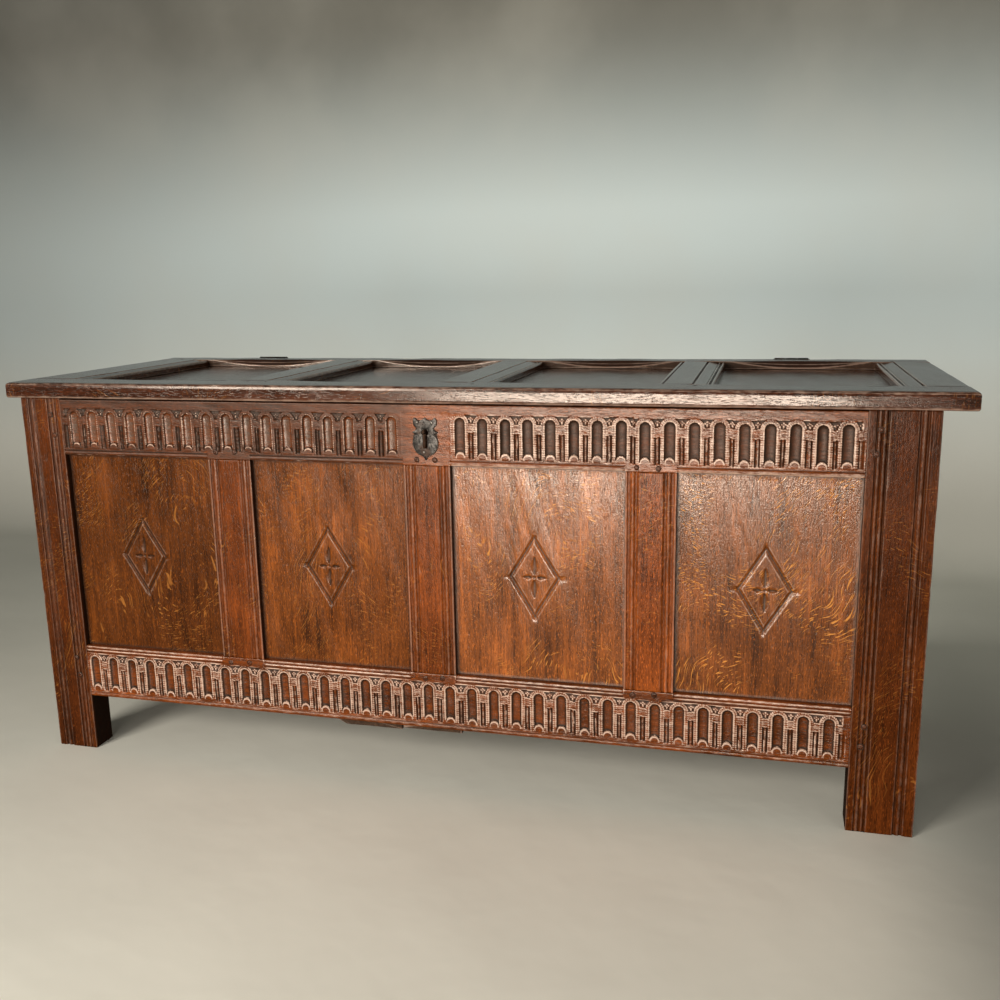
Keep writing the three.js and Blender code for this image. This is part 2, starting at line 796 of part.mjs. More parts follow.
// The corner posts' feet, as notches in the end boards
function postNotches() {
  const height = [0, postTop];
  const frontY = [-overrun, postThickness + fit];
  const backY = [bodyDepth - postThickness - fit, bodyDepth + overrun];
  return [
    block([0, leftPostWidth + fit], frontY, height),
    block([frontOpeningRight - fit, bodyWidth], frontY, height),
    block([0, backPostWidth + fit], backY, height),
    block([bodyWidth - backPostWidth - fit, bodyWidth], backY, height),
  ];
}

function buildBottom() {
  const floor = wallGroup([1, 0, 0], [0, 1, 0], [0, 0, 1], [0, 0, 0]);
  const inside = endSetBack + plainThickness + fit;
  const thickEnd = thickBoardStart + thickBoardWidth;
  const secondEnd = thickEnd + secondBoardWidth;
  const evenly = (from, to, count) => Array.from({ length: count }, (_, index) => [
    from + (to - from) * index / count + fit / 2,
    from + (to - from) * (index + 1) / count - fit / 2,
  ]);
  const before = evenly(inside, thickBoardStart, boardCountBefore);
  const after = evenly(secondEnd, bodyWidth - inside, boardCountAfter);
  const boards = [
    ...before.map((span) => [span, boardThickness, 0]),
    [[thickBoardStart + fit / 2, thickEnd - fit / 2], thickBoardThickness, boardWane],
    [[thickEnd + fit / 2, secondEnd - fit / 2], secondBoardThickness, 0],
    ...after.map((span) => [span, boardThickness, 0]),
  ];
  boards.forEach(([span, thickness, wane], index) => {
    const atEnd = index === 0 || index === boards.length - 1;
    place(floor, `bottom_board_${index + 1}`, board(span, thickness, wane, atEnd ? postNotches() : []), insideOak);
  });
}

// Lid: w is measured from its top face

// Rounded outer edge, from the top face round to the underside
function nosePoints(edge, inward) {
  const top = arc(
    edge + inward * lidNoseRadius, -lidNoseRadius, lidNoseRadius,
    Math.PI / 2, inward > 0 ? Math.PI : 0, noseSteps,
  );
  const under = arc(
    edge + inward * lidUnderRadius, lidWall.back + lidUnderRadius, lidUnderRadius,
    inward > 0 ? Math.PI : 0, inward > 0 ? 3 * Math.PI / 2 : -Math.PI / 2, noseSteps,
  );
  return [...top, ...under];
}

// A chamfer that runs out in a long curve before each end of the panel
function stoppedChamfer([left, right], edge, angle) {
  const half = (right - left) * lidChamferShare / 2;
  const depth = lidChamfer / Math.SQRT2;
  const radius = (half ** 2 + depth ** 2) / (2 * depth);
  const spread = Math.asin(half / radius);
  const sweep = arc(0, radius - depth, radius, -Math.PI / 2 - spread, -Math.PI / 2 + spread, chamferSteps);
  const outline = [...sweep, [half, overrun], [-half, overrun]];
  return alongW(outline, -lidChamfer, lidChamfer)
    .rotateX(angle)
    .translate((left + right) / 2, edge, 0);
}

const lidOpening = [lidLeft + lidLeftRailWidth, lidRight - lidRightRailWidth];
const lidMuntins = muntinSpans(lidOpening, lidMuntinShares, lidMuntinWidth);
const lidPanels = panelSpans(lidOpening, lidMuntins);
const lidInside = [lidFront + lidFrontRailWidth, lidBack - lidBackRailWidth];

// Mortises for the muntins and the end rails, in the inner edge of a long rail
function lidMortises(edge, inward) {
  const ends = [[lidLeft, lidOpening[0]], [lidOpening[1], lidRight]];
  return [...ends, ...lidMuntins].map(([left, right]) => block(
    [left + muntinTenonInset - fit, right - muntinTenonInset + fit],
    [edge - inward * overrun, edge + inward * (lidWall.muntinTenon + fit)],
    lidWall.mortise,
  ));
}

// Both ends of a long rail rounded like its edge
function lidLength(low, high) {
  const ends = [...nosePoints(lidLeft, 1), ...nosePoints(lidRight, -1).reverse()];
  return alongV(ends, low - overrun, high + overrun);
}

function lidFrontRail() {
  const [deep, near] = lidWall.groove;
  const inner = lidInside[0];
  const section = [
    ...nosePoints(lidFront, 1),
    [inner, lidWall.back], [inner, deep], [inner - grooveDepth, deep],
    [inner - grooveDepth, near], [inner, near], [inner, 0],
  ];
  const stick = common(alongU(section, lidLeft, lidRight), lidLength(lidFront, inner));
  const chamfers = lidPanels.map((span) => stoppedChamfer(span, inner, Math.PI / 4));
  return worked([stick], [...lidMortises(inner, -1), ...chamfers]);
}

function lidBackRail() {
  const inner = lidInside[1];
  const section = railSection(lidWall, [inner, lidBack], 'low');
  const stick = common(alongU(section, lidLeft, lidRight), lidLength(inner, lidBack));
  const chamfers = lidPanels.map((span) => stoppedChamfer(span, inner, 3 * Math.PI / 4));
  return worked([stick], [...lidMortises(inner, 1), ...chamfers]);
}

function lidEndRail(outer, inner) {
  const inward = Math.sign(inner - outer);
  const [deep, near] = lidWall.groove;
  const section = [
    ...nosePoints(outer, inward),
    [inner, lidWall.back], [inner, deep], [inner - inward * grooveDepth, deep],
    [inner - inward * grooveDepth, near], [inner, near],
    ...mouldPoints(inner, -inward, muntinMouldShares, lidMouldWidth, muntinMouldDepth),
  ];
  const span = [Math.min(outer, inner) + muntinTenonInset, Math.max(outer, inner) - muntinTenonInset];
  return worked([
    alongV(section, lidInside[0] + fit, lidInside[1] - fit),
    alongV(rectangle(span, lidWall.tenon), lidInside[0] - lidTenonLength, lidInside[1] + lidTenonLength),
  ]);
}

function buildLid() {
  const lid = wallGroup([1, 0, 0], [0, 1, 0], [0, 0, 1], [0, 0, lidTop]);
  place(lid, 'lid_front_rail', lidFrontRail(), lidOak);
  place(lid, 'lid_back_rail', lidBackRail(), lidOak);
  place(lid, 'lid_left_rail', lidEndRail(lidLeft, lidOpening[0]), lidOak);
  place(lid, 'lid_right_rail', lidEndRail(lidRight, lidOpening[1]), lidOak);
  lidMuntins.forEach((span, index) => {
    place(lid, `lid_muntin_${index + 1}`, muntin(lidWall, span, lidInside, lidMouldWidth), lidOak);
  });
  lidPanels.forEach((span, index) => {
    place(lid, `lid_panel_${index + 1}`, panel(lidWall, span, lidInside, lidPanelThickness), lidOak);
  });
}

// Hinges: the lid's leaf carries the middle knuckle, the strap on the back carries the outer two

function knuckle(from, to) {
  const axis = [hingeAxisY, hingeAxisZ];
  const ring = shapeOf(arc(...axis, barrelRadius, 0, 2 * Math.PI, barrelSides).slice(1));
  const bore = arc(...axis, hingePinRadius + fit, 0, 2 * Math.PI, barrelSides).slice(1);
  ring.holes.push(new THREE.Path(bore.map(([a, b]) => new THREE.Vector2(a, b))));
  return alongU(ring, from, to);
}

// A knuckle joined to the top of its leaf, before the pin's bore is opened through both
function leafWithKnuckles(plate, leafY, spans) {
  const pieces = [plate];
  const cuts = [];
  for (const [from, to] of spans) {
    const web = rectangle(leafY, [hingeAxisZ - leafRise - fit, hingeAxisZ]);
    const bore = arc(hingeAxisY, hingeAxisZ, hingePinRadius + fit, 0, 2 * Math.PI, barrelSides).slice(1);
    pieces.push(alongU(web, from, to), knuckle(from, to));
    cuts.push(alongU(bore, from - overrun, to + overrun));
  }
  return worked(pieces, cuts);
}

function lidLeaf(centre) {
  const half = hingeWidth / 2;
  const middle = hingeWidth / 6 - knuckleGap / 2;
  const top = hingeAxisZ - leafRise;
  const leafY = [lidBack + fit, lidBack + fit + leafThickness];
  const plate = block([centre - half, centre + half], leafY, [top - lidLeafHeight, top]);
  return leafWithKnuckles(plate, leafY, [[centre - middle, centre + middle]]);
}

function strapLeaf(centre) {
  const half = hingeWidth / 2;
  const third = hingeWidth / 6 + knuckleGap / 2;
  const top = hingeAxisZ - leafRise;
  const leafY = [bodyDepth + fit, bodyDepth + fit + leafThickness];
  const outline = [
    [centre - half, top], [centre - half, top - strapLength / 2],
    [centre - strapTipWidth / 2, top - strapLength], [centre + strapTipWidth / 2, top - strapLength],
    [centre + half, top - strapLength / 2], [centre + half, top],
  ];
  const plate = alongV(outline, ...leafY);
  return leafWithKnuckles(plate, leafY, [[centre - half, centre - third], [centre + third, centre + half]]);
}

function hingePin(centre) {
  const half = hingeWidth / 2;
  const round = (radius) => arc(hingeAxisY, hingeAxisZ, radius, 0, 2 * Math.PI, barrelSides).slice(1);
  return worked([
    alongU(round(hingePinRadius), centre - half - fit, centre + half + fit + pinHeadLength),
    alongU(round(pinHeadRadius), centre + half + fit, centre + half + fit + pinHeadLength),
    alongU(round(pinHeadRadius), centre - half - fit - pinHeadLength, centre - half - fit),
  ]);
}

function buildHinges() {
  const hinges = wallGroup([1, 0, 0], [0, 1, 0], [0, 0, 1], [0, 0, 0]);
  const places = { left: lidLeft + hingeFromEnd, right: lidRight - hingeFromEnd };
  for (const [side, centre] of Object.entries(places)) {
    place(hinges, `hinge_${side}_lid_leaf`, lidLeaf(centre), iron);
    place(hinges, `hinge_${side}_strap`, strapLeaf(centre), iron);
    place(hinges, `hinge_${side}_pin`, hingePin(centre), iron);
  }
}

// Lock

// Outline of the lock plate: eared head, narrow waist with a curled cusp, round belly, pointed drop.
// Each pair is a share of half the width and of the height, measured from the keyhole's round head.
function lockPlateShape() {
  const stretchShares = [
    [[0.2, 0.31], [0.37, 0.286], [0.57, 0.305], [0.77, 0.346]],
    [[0.95, 0.24], [0.89, 0.131]],
    [[0.76, 0.112], [0.64, 0.1]],
    [[0.68, 0.04], [1, 0.002]],
    [[0.88, -0.035], [0.82, -0.084]],
    [[0.98, -0.19], [0.98, -0.32], [0.76, -0.45], [0.3, -0.535]],
    [[0.12, -0.57], [0, -0.65]],
  ];
  const spot = ([across, up], side) => new THREE.Vector2(
    side * across * lockPlateWidth / 2, up * lockPlateHeight,
  );
  const shape = new THREE.Shape();
  shape.moveTo(0, 0.346 * lockPlateHeight);
  for (const stretch of stretchShares) {
    shape.splineThru(stretch.map((pair) => spot(pair, 1)));
  }
  const ends = stretchShares.flat();
  for (const pair of ends.slice(0, -1).reverse()) {
    shape.lineTo(...spot(pair, -1).toArray());
  }
  shape.closePath();
  return shape;
}

function lockPlate() {
  const shape = lockPlateShape();
  shape.holes.push(new THREE.Path(keyholeOutline().map(([a, b]) => new THREE.Vector2(a, b))));
  return alongW(shape, fit, fit + lockPlateThickness).translate(lockCentreX, lockCentreZ, 0);
}

// Places of the mechanism, measured from the lock's centre line and the rail's inner face
const lockBack = frontThickness + fit;
const caseTop = topRailTop - caseTopGap;
const caseBottom = caseTop - caseHeight;
const loopBackY = lockBack + caseDepth - caseWall - loopPlay;
const loopY = [loopBackY - loopWidth, loopBackY];
const boltY = [(loopY[0] + loopY[1] - boltThickness) / 2, (loopY[0] + loopY[1] + boltThickness) / 2];
const boltZ = [caseTop - boltBelowTop - boltHeight, caseTop - boltBelowTop];
const boltEnd = lockCentreX - loopThickness / 2 - boltTipGap;
const boltStart = boltEnd - boltLength;

// The case is open towards the rail. Two guides inside it carry the bolt.
function lockCase() {
  const half = caseWidth / 2;
  const outer = [lockCentreX - half, lockCentreX + half];
  const inner = [outer[0] + caseWall, outer[1] - caseWall];
  const inside = [caseBottom + caseWall, caseTop - caseWall];
  const flange = [
    ...arc(outer[0], caseTop - caseCorner, caseFlange, Math.PI / 2, 3 * Math.PI / 2, caseEarSteps),
    [lockCentreX - half, caseBottom],
    [lockCentreX + half, caseBottom],
    ...arc(outer[1], caseTop - caseCorner, caseFlange, -Math.PI / 2, Math.PI / 2, caseEarSteps),
  ].map(([x, z]) => [x, Math.min(z, caseTop)]);
  const box = block(outer, [lockBack, lockBack + caseDepth], [caseBottom, caseTop]);
  const hollow = block(inner, [lockBack - overrun, lockBack + caseDepth - caseWall], inside);
  const slot = block(
    [lockCentreX - loopThickness / 2 - loopPlay, lockCentreX + loopThickness / 2 + loopPlay],
    [loopY[0] - loopSwing - loopPlay, loopY[1] + loopPlay / 2],
    [caseTop - caseWall - overrun, caseTop + overrun],
  );
  const guideAt = (x) => block(
    [x, x + guideThickness], [boltY[0] - caseWall, lockBack + caseDepth - caseWall / 2],
    [boltZ[0] - caseWall, boltZ[1] + caseWall],
  );
  const window = block(
    [boltStart - overrun, boltEnd + overrun], [boltY[0] - fit, boltY[1] + fit], [boltZ[0] - fit, boltZ[1] + fit],
  );
  const guides = [guideAt(boltStart + guideInset), guideAt(boltEnd - guideInset - guideThickness)]
    .map((guide) => worked([guide], [window]));
  const casing = worked([alongV(flange, lockBack, lockBack + caseWall), box], [hollow, slot]);
  return worked([casing, ...guides]);
}

function lockBolt() {
  const notch = (boltStart + boltEnd) / 2;
  const [low, high] = boltZ;
  const outline = [
    [boltStart, low], [notch - boltNotchWidth / 2, low], [notch - boltNotchWidth / 2, low + boltNotch],
    [notch + boltNotchWidth / 2, low + boltNotch], [notch + boltNotchWidth / 2, low],
    [boltEnd - boltTipGap / 2, low], [boltEnd, low + boltTipGap / 2], [boltEnd, high], [boltStart, high],
  ];
  return alongV(outline, ...boltY);
}

// The hasp is let down from the lid: a plate under the front rail with a loop for the bolt
function lidHasp() {
  const plateZ = [lidBottom - fit - haspThickness, lidBottom - fit];
  const plateY = [lockBack, lockBack + haspDepth];
  const half = haspLength / 2;
  const plate = [
    [lockCentreX - half, plateY[0]], [lockCentreX + half, plateY[0]],
    [lockCentreX + half, plateY[0] + haspDepth / 2],
    ...arc(lockCentreX, plateY[0] + haspDepth / 2, haspDepth / 2, 0, Math.PI, caseEarSteps),
    [lockCentreX - half, plateY[0] + haspDepth / 2],
  ];
  const loop = [
    [loopY[0], lidBottom - fit - haspThickness / 2],
    [loopY[0], boltZ[0] - fit],
    ...arc((loopY[0] + loopY[1]) / 2, boltZ[0] - fit, loopWidth / 2, Math.PI, 2 * Math.PI, caseEarSteps),
    [loopY[1], lidBottom - fit - haspThickness / 2],
  ];
  const eye = rectangle(
    [loopY[0] + loopWall, loopY[1] - loopWall], [boltZ[0] - loopWall / 2, boltZ[1] + loopWall / 2],
  );
  const across = [lockCentreX - loopThickness / 2, lockCentreX + loopThickness / 2];
  return worked(
    [alongW(plate, ...plateZ), alongU(loop, ...across)],
    [alongU(eye, across[0] - overrun, across[1] + overrun)],
  );
}

function buildLock() {
  const front = wallGroup([1, 0, 0], [0, 0, 1], [0, -1, 0], [0, 0, 0]);
  const inside = wallGroup([1, 0, 0], [0, 1, 0], [0, 0, 1], [0, 0, 0]);
  place(front, 'lock_plate', lockPlate(), iron);
  place(inside, 'lock_case', lockCase(), iron);
  place(inside, 'lock_bolt', lockBolt(), iron);
  place(inside, 'lid_hasp', lidHasp(), iron);
}

buildFront();
buildBack();
buildEnds();
buildBottom();
buildLid();
buildHinges();
buildLock();

// The origin goes under the middle of everything, on the floor
const part = new THREE.Group();
chest.position.set(-(lidLeft + lidRight) / 2, -(lidFront + boxBack) / 2, 0);
part.add(chest);

export default part;
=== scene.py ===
"""Joined oak coffer: carved front rails, lozenge panels, framed lid, iron hinges and chest lock."""

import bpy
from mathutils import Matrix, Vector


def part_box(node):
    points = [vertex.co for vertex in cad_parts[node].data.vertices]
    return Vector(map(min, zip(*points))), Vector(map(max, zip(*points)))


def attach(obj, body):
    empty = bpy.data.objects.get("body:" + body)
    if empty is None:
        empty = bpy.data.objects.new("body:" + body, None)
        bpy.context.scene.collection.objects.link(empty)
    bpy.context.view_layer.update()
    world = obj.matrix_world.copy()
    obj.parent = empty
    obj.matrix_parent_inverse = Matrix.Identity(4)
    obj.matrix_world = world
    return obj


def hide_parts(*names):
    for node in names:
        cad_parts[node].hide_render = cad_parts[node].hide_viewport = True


bl_info = {
    "name": "Joined Oak Coffer",
    "version": (1, 0, 0),
    "blender": (4, 5, 0),
    "location": "3D View > Sidebar > Coffer",
    "description": "Makes the oak, iron and stage of a carved coffer chest",
    "category": "Add Mesh",
}

import math

import bpy
import numpy as np
from bpy.props import FloatProperty, FloatVectorProperty, PointerProperty
from mathutils import Matrix, Vector

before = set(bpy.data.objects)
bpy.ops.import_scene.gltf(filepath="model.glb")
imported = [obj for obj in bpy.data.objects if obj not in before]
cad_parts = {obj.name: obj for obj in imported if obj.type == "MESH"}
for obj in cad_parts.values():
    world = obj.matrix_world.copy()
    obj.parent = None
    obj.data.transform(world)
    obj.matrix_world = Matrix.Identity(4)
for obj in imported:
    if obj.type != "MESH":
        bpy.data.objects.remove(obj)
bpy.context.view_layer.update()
MM = 0.001

# Mouldings in mm, across from the edge and down from the face: shares of their whole width and depth
INNER_MOULD = np.array([
    [0, 0], [0.05, 0.8], [0.11, 0.8], [0.17, 0.15], [0.3, 0.02], [0.42, 0.3],
    [0.47, 0.9], [0.55, 0.35], [0.68, 0.05], [0.8, 0.35], [0.88, 1], [0.97, 1], [1, 0],
]) * [18.4, 2.8]
OUTER_MOULD = np.array([
    [0, 0], [0.03, 0.35], [0.13, 0.05], [0.24, 0.35], [0.28, 1], [0.4, 1],
    [0.44, 0.4], [0.6, 0.05], [0.76, 0.4], [0.84, 0.9], [0.96, 0.9], [1, 0],
]) * [18.4, 2.8]
MUNTIN_MOULD = np.array([
    [0, 0.35], [0.15, 0.3], [0.19, 1], [0.38, 1], [0.44, 0.4], [0.56, 0.05],
    [0.68, 0.35], [0.74, 0.85], [0.86, 0.85], [1, 0],
]) * [21.5, 2.6]
TOP_RAIL_MOULD = np.array([
    [0, 1], [0.06, 0.5], [0.2, 0.12], [0.36, 0.02], [0.5, 0.15], [0.61, 0.5],
    [0.65, 0.95], [0.73, 0.95], [0.78, 0.1], [0.96, 0.1], [1, 0],
]) * [13.0, 2.6]
BOTTOM_RAIL_MOULD = np.array([
    [0, 1], [0.14, 0.55], [0.32, 0.4], [0.38, 1], [0.46, 1], [0.52, 0.35],
    [0.66, 0.05], [0.82, 0.35], [0.88, 0.85], [0.96, 0.85], [1, 0],
]) * [13.0, 2.6]
LOWER_MOULD = np.array([
    [0, 0.8], [0.25, 0.25], [0.5, 0.1], [0.72, 0.4], [0.8, 1], [0.94, 1], [1, 0],
]) * [9.0, 2.0]
LID_MOULD = np.array([
    [0, 1], [0.05, 0.5], [0.1, 0.3], [0.15, 0.45], [0.18, 1], [0.22, 1], [0.26, 0.4], [0.31, 0.35],
    [0.35, 0.8], [0.4, 0.65], [0.55, 0.5], [0.75, 0.25], [0.9, 0.1], [0.93, 0.75], [0.97, 0.75], [1, 0],
]) * [34.0, 5.5]
LID_NARROW_MOULD = np.array([
    [0, 0.7], [0.2, 0.25], [0.5, 0.2], [0.6, 0.9], [0.72, 0.9], [0.8, 0.1], [1, 0],
]) * [13.0, 5.5]
LID_SMALL_MOULD = np.array([[0.0, 3.0], [3.0, 0.0]])

# Grooves for the panels, and the panels' own sections
GROOVE_DEPTH, GROOVE_WIDTH, TONGUE, FIT = 9.0, 7.0, 7.0, 0.3
FRONT_SET, PLAIN_SET, LID_SET, END_SET_BACK = 12.0, 9.0, 15.0, 3.0
PANEL_THICKNESS, LID_PANEL_THICKNESS, PANEL_BEVEL = 11.0, 10.0, 25.0
FRONT_THICKNESS, PLAIN_THICKNESS, LID_THICKNESS = 30.0, 26.0, 28.0

# Flats at the two edges of a front post, and the share of them that the left post has
INNER_FLAT, OUTER_FLAT, LEFT_FLAT_SHARE = 11.4, 12.4, 0.79

# Arches: height of their feet, their spacing, and what is left plain beside the posts and the keyhole
ARCH_FOOT, TOP_PITCH, BOTTOM_PITCH = 12.5, 37.3, 38.6
POST_GAP, LOCK_GAP, BOTTOM_LEFT_GAP, BOTTOM_RIGHT_GAP = 11.0, 44.0, 1.6, 16.8

# Keyhole: its share of the front's opening, how high its round head is, its radius, and the slit below it
LOCK_SHARE, KEY_HEIGHT, KEY_RADIUS, SLIT_HALF, SLIT_DROP = 0.5016, 54.5, 5.7, 3.7, 26.0

# Height and depth of the rebate that holds the boards in the bottom rails, and the wane of one board
REBATE_HEIGHT, REBATE_DEPTH, WANE = 13.0, 16.0, 14.0

# Long rails of the lid: rise of their planed arris, rounding of their ends, and how far down the planing goes
CHAMFER, TOP_ROUND, BOTTOM_ROUND, PLANED_TO = 9.19, 6.0, 4.0, -14.5

# Pegs: how far their heads are sunk, and their places on the front as u and v
PEG_SUNK, LID_PEG_SUNK = 0.15, 0.75
FRONT_PEGS = np.array([
    [381.2, 580.4], [416.7, 581.3], [745, 577.3], [776.5, 577.5], [1103.4, 574.9], [1138.5, 574],
    [379.8, 198.3], [416.2, 198.2], [747, 198.5], [778, 199.6], [1101.3, 198.7], [1136.2, 201.8],
    [1457.2, 640.9], [1452.9, 604.8], [1455.5, 145], [1459, 178], [58, 640], [63, 603], [60, 147], [56, 181],
])


def a_length(name, description, default):
    """A property for a length."""
    return FloatProperty(name=name, description=description, default=default, unit="LENGTH")


def a_power(name, description, default):
    """A property for the power of a lamp."""
    return FloatProperty(name=name, description=description, default=default, min=0, unit="POWER")


def a_colour(name, description, *parts):
    """A property for a colour, whose default is given as red, green and blue."""
    return FloatVectorProperty(name=name, description=description, default=(*parts, 1), size=4, min=0, max=1,
                               subtype="COLOR")


class CarvingSizes(bpy.types.PropertyGroup):
    """Sizes of the carving on the front."""

    arch_height: a_length("Arch height", "Height of one arch", 0.072)
    arch_radius: a_length("Arch radius", "Outer radius of an arch", 0.0143)
    flute_radius: a_length("Flute radius", "Half the width of a flute", 0.009)
    flute_depth: a_length("Flute depth", "Depth of a flute", 0.0045)
    slot_depth: a_length("Slot depth", "Depth of the slots between arches", 0.0024)
    cap_height: a_length("Cap height", "Height of the plain cap over the slots", 0.0145)
    spandrel_depth: a_length("Spandrel depth", "Depth of the ground over the arches", 0.0021)
    lozenge_width: a_length("Lozenge width", "Width of the lozenge cut in a panel", 0.0805)
    lozenge_height: a_length("Lozenge height", "Height of the lozenge cut in a panel", 0.133)
    lozenge_depth: a_length("Lozenge depth", "Depth of the lozenge's groove", 0.003)


class FinishColours(bpy.types.PropertyGroup):
    """Colours of the wood, the iron and the dirt; grime, rubbed wood and dust also paint shade and sheen."""

    frame_oak: a_colour("Frame oak", "Posts, rails and muntins", 0.175, 0.037, 0.005)
    panel_oak: a_colour("Panel oak", "Front panels", 0.21, 0.052, 0.007)
    lid_oak: a_colour("Lid oak", "The lid", 0.06, 0.015, 0.005)
    board_oak: a_colour("Board oak", "Dry bottom boards", 0.16, 0.085, 0.045)
    # Grime: old wax and dirt, and also painted shade on unlit sunk walls, in the keyhole and on the top
    # rail's left run
    grime_and_shade: a_colour("Grime and shade", "Old wax and dirt in the hollows, and painted shade", 0.016, 0.006, 0.002)
    # Rubbed wood: pale bare wood on worn arrises, made pale enough to stand for their highlights too: painted
    # sheen
    rubbed: a_colour("Rubbed wood and sheen", "Wood worn bare on the arrises, and painted sheen on them", 0.6, 0.39, 0.27)
    fleck: a_colour("Ray fleck", "Medullary rays of the panels", 0.6, 0.22, 0.04)
    # Dust: grey bloom, and painted grey sheen in the left run's flutes and on the walls under the lid's
    # planed edges
    dust_and_sheen: a_colour("Dust and sheen", "Grey bloom on the wax of the flutes, and painted sheen", 0.085, 0.056, 0.037)
    iron: a_colour("Iron", "Forged iron", 0.07, 0.058, 0.046)


class StageSettings(bpy.types.PropertyGroup):
    """Floor, lamps and camera."""

    lens: FloatProperty(name="Lens", description="Focal length for a 36 mm sensor", default=37.146, min=10,
                        unit="CAMERA")
    floor_colour: a_colour("Floor", "Paper floor and backdrop", 0.94, 0.87, 0.7)
    wall_colour: a_colour("Backdrop", "Upper part of the backdrop", 0.66, 0.72, 0.66)
    # The backdrop darkens to this colour above the chest: painted shade
    high_colour: a_colour("Top", "Backdrop above the chest", 0.18, 0.165, 0.125)
    key_power: a_power("Key", "Power of the large lamp on the left", 98)
    fill_power: a_power("Fill", "Power of the lamp on the right", 12)
    front_power: a_power("Front", "Power of the low lamp in front", 74)
    background_power: a_power("Background", "Power of the lamp that lights the backdrop", 6)


# Walls


class Wall:
    """One side of the chest seen from outside, in millimetres: u runs right, v up it, w out of its face."""

    def __init__(self, right, up, out, origin):
        self.axes = np.array([right, up, out], float)
        self.origin = np.array(origin, float)

    def place(self, points):
        """Local points turned to the chest's x, y and z, in metres."""
        return self.origin + (points @ self.axes) * MM

    def span(self, node):
        """Lowest and highest u, v and w of a CAD node."""
        corners = np.array([list(corner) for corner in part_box(node)])
        local = (corners - self.origin) @ self.axes.T / MM
        return local.min(0), local.max(0)

    def across(self, node):
        """Lowest and highest u of a CAD node."""
        return [end[0] for end in self.span(node)]

    def upwards(self, node):
        """Lowest and highest v of a CAD node."""
        return [end[1] for end in self.span(node)]

    def bays(self, opening, uprights):
        """u of each panel's two edges, between an opening's ends and its uprights."""
        edges = [opening[0], *sum(sorted(self.across(node) for node in uprights), []), opening[1]]
        return list(zip(edges[::2], edges[1::2]))


def corner(node, end):
    """Lowest (0) or highest (1) corner of a CAD node, in metres."""
    return np.array(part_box(node)[end])


def make_walls():
    """The five framed sides and the floor of the chest, placed from the CAD nodes' boxes."""
    low = corner("front_post_left", 0)
    high = corner("back_post_right", 1)
    face = corner("front_top_rail", 0)[1]
    top = corner("lid_front_rail", 1)[2]
    return {
        "front": Wall((1, 0, 0), (0, 0, 1), (0, -1, 0), (low[0], face, 0)),
        "back": Wall((-1, 0, 0), (0, 0, 1), (0, 1, 0), (high[0], high[1], 0)),
        "left": Wall((0, -1, 0), (0, 0, 1), (-1, 0, 0), (low[0], high[1], 0)),
        "right": Wall((0, 1, 0), (0, 0, 1), (1, 0, 0), (high[0], face, 0)),
        "lid": Wall((1, 0, 0), (0, 1, 0), (0, 0, 1), (low[0], face, top)),
        "floor": Wall((1, 0, 0), (0, 1, 0), (0, 0, 1), (low[0], face, 0)),
    }


WALLS = make_walls()


# Outlines and unevenness


def eased(corners, reach, steps=3):
    """Each corner of a closed outline turned to a parabola between the points `reach` before and after it."""
    points = np.asarray(corners, float)
    back, on = np.roll(points, 1, 0) - points, np.roll(points, -1, 0) - points
    start = points + back * np.minimum(reach / np.hypot(*back.T), 0.45)[:, None]
    end = points + on * np.minimum(reach / np.hypot(*on.T), 0.45)[:, None]
    t = np.linspace(0, 1, steps + 1)[:, None]
    curves = [(1 - t) ** 2 * a + 2 * t * (1 - t) * p + t ** 2 * b for a, p, b in zip(start, points, end)]
    return np.concatenate(curves)


def spread(outline, gap=26.0, marks=(1.5, 4.0, 9.0)):
    """Points added on the long sides of a closed outline, at each mark from both ends and then every gap."""
    made = []
    for start, end in zip(outline, np.roll(outline, -1, 0)):
        length = np.hypot(*(end - start))
        near = np.array([mark for mark in marks if mark < length / 2 - 0.4])
        middle = np.arange(marks[-1] + gap, length - marks[-1] - gap / 2, gap)
        at = np.unique(np.concatenate([[0.0], near, middle, length - near]))
        made.append(start + (end - start) * (at / max(length, 1e-9))[:, None])
    return np.concatenate(made)


def anticlockwise(outline):
    """The outline turned, if need be, so that it runs anticlockwise."""
    x, y = outline.T
    area = (x * np.roll(y, -1) - np.roll(x, -1) * y).sum()
    return outline if area > 0 else outline[::-1]


def outward(outline):
    """Unit normals of an anticlockwise outline: its chord directions turned right by 90 degrees."""
    chord = np.roll(outline, -1, 0) - np.roll(outline, 1, 0)
    chord = chord / np.maximum(np.hypot(*chord.T), 1e-9)[:, None]
    return np.stack([chord[:, 1], -chord[:, 0]], -1)


def standing_out(outline, reach=2.4, samples=4096):
    """How far each point stands outside (+) or inside (-) its outline blurred by a Gaussian of that reach."""
    closed = np.vstack([outline, outline[:1]])
    ring = np.concatenate([[0], np.cumsum(np.hypot(*np.diff(closed, axis=0).T))])
    even = np.linspace(0, ring[-1], samples, endpoint=False)
    dense = np.stack([np.interp(even, ring, closed[:, axis]) for axis in (0, 1)])
    waves = np.fft.rfftfreq(samples, ring[-1] / samples)
    blurred = np.fft.irfft(np.fft.rfft(dense) * np.exp(-2 * (np.pi * reach * waves) ** 2), samples)
    line = np.stack([np.interp(ring[:-1], even, blurred[axis], period=ring[-1]) for axis in (0, 1)], -1)
    return ((outline - line) * outward(outline)).sum(-1)


def ripple(seed, along, across, reach, wave=190.0, count=7):
    """Smooth unevenness: a sum of sine waves of random direction, length and phase, about `reach` high,
    shifted so that no place stands above 0."""
    random = np.random.default_rng(seed)
    total = np.zeros(np.broadcast(along, across).shape)
    for _ in range(count):
        length = wave * random.uniform(0.35, 1.6)
        turn = random.uniform(-0.5, 0.5)
        phase = random.uniform(0, 2 * np.pi)
        total += np.sin(2 * np.pi * (along * math.cos(turn) + across * (3 + math.sin(turn))) / length + phase)
    return np.clip(total * reach / math.sqrt(count), -2 * reach, reach) - reach


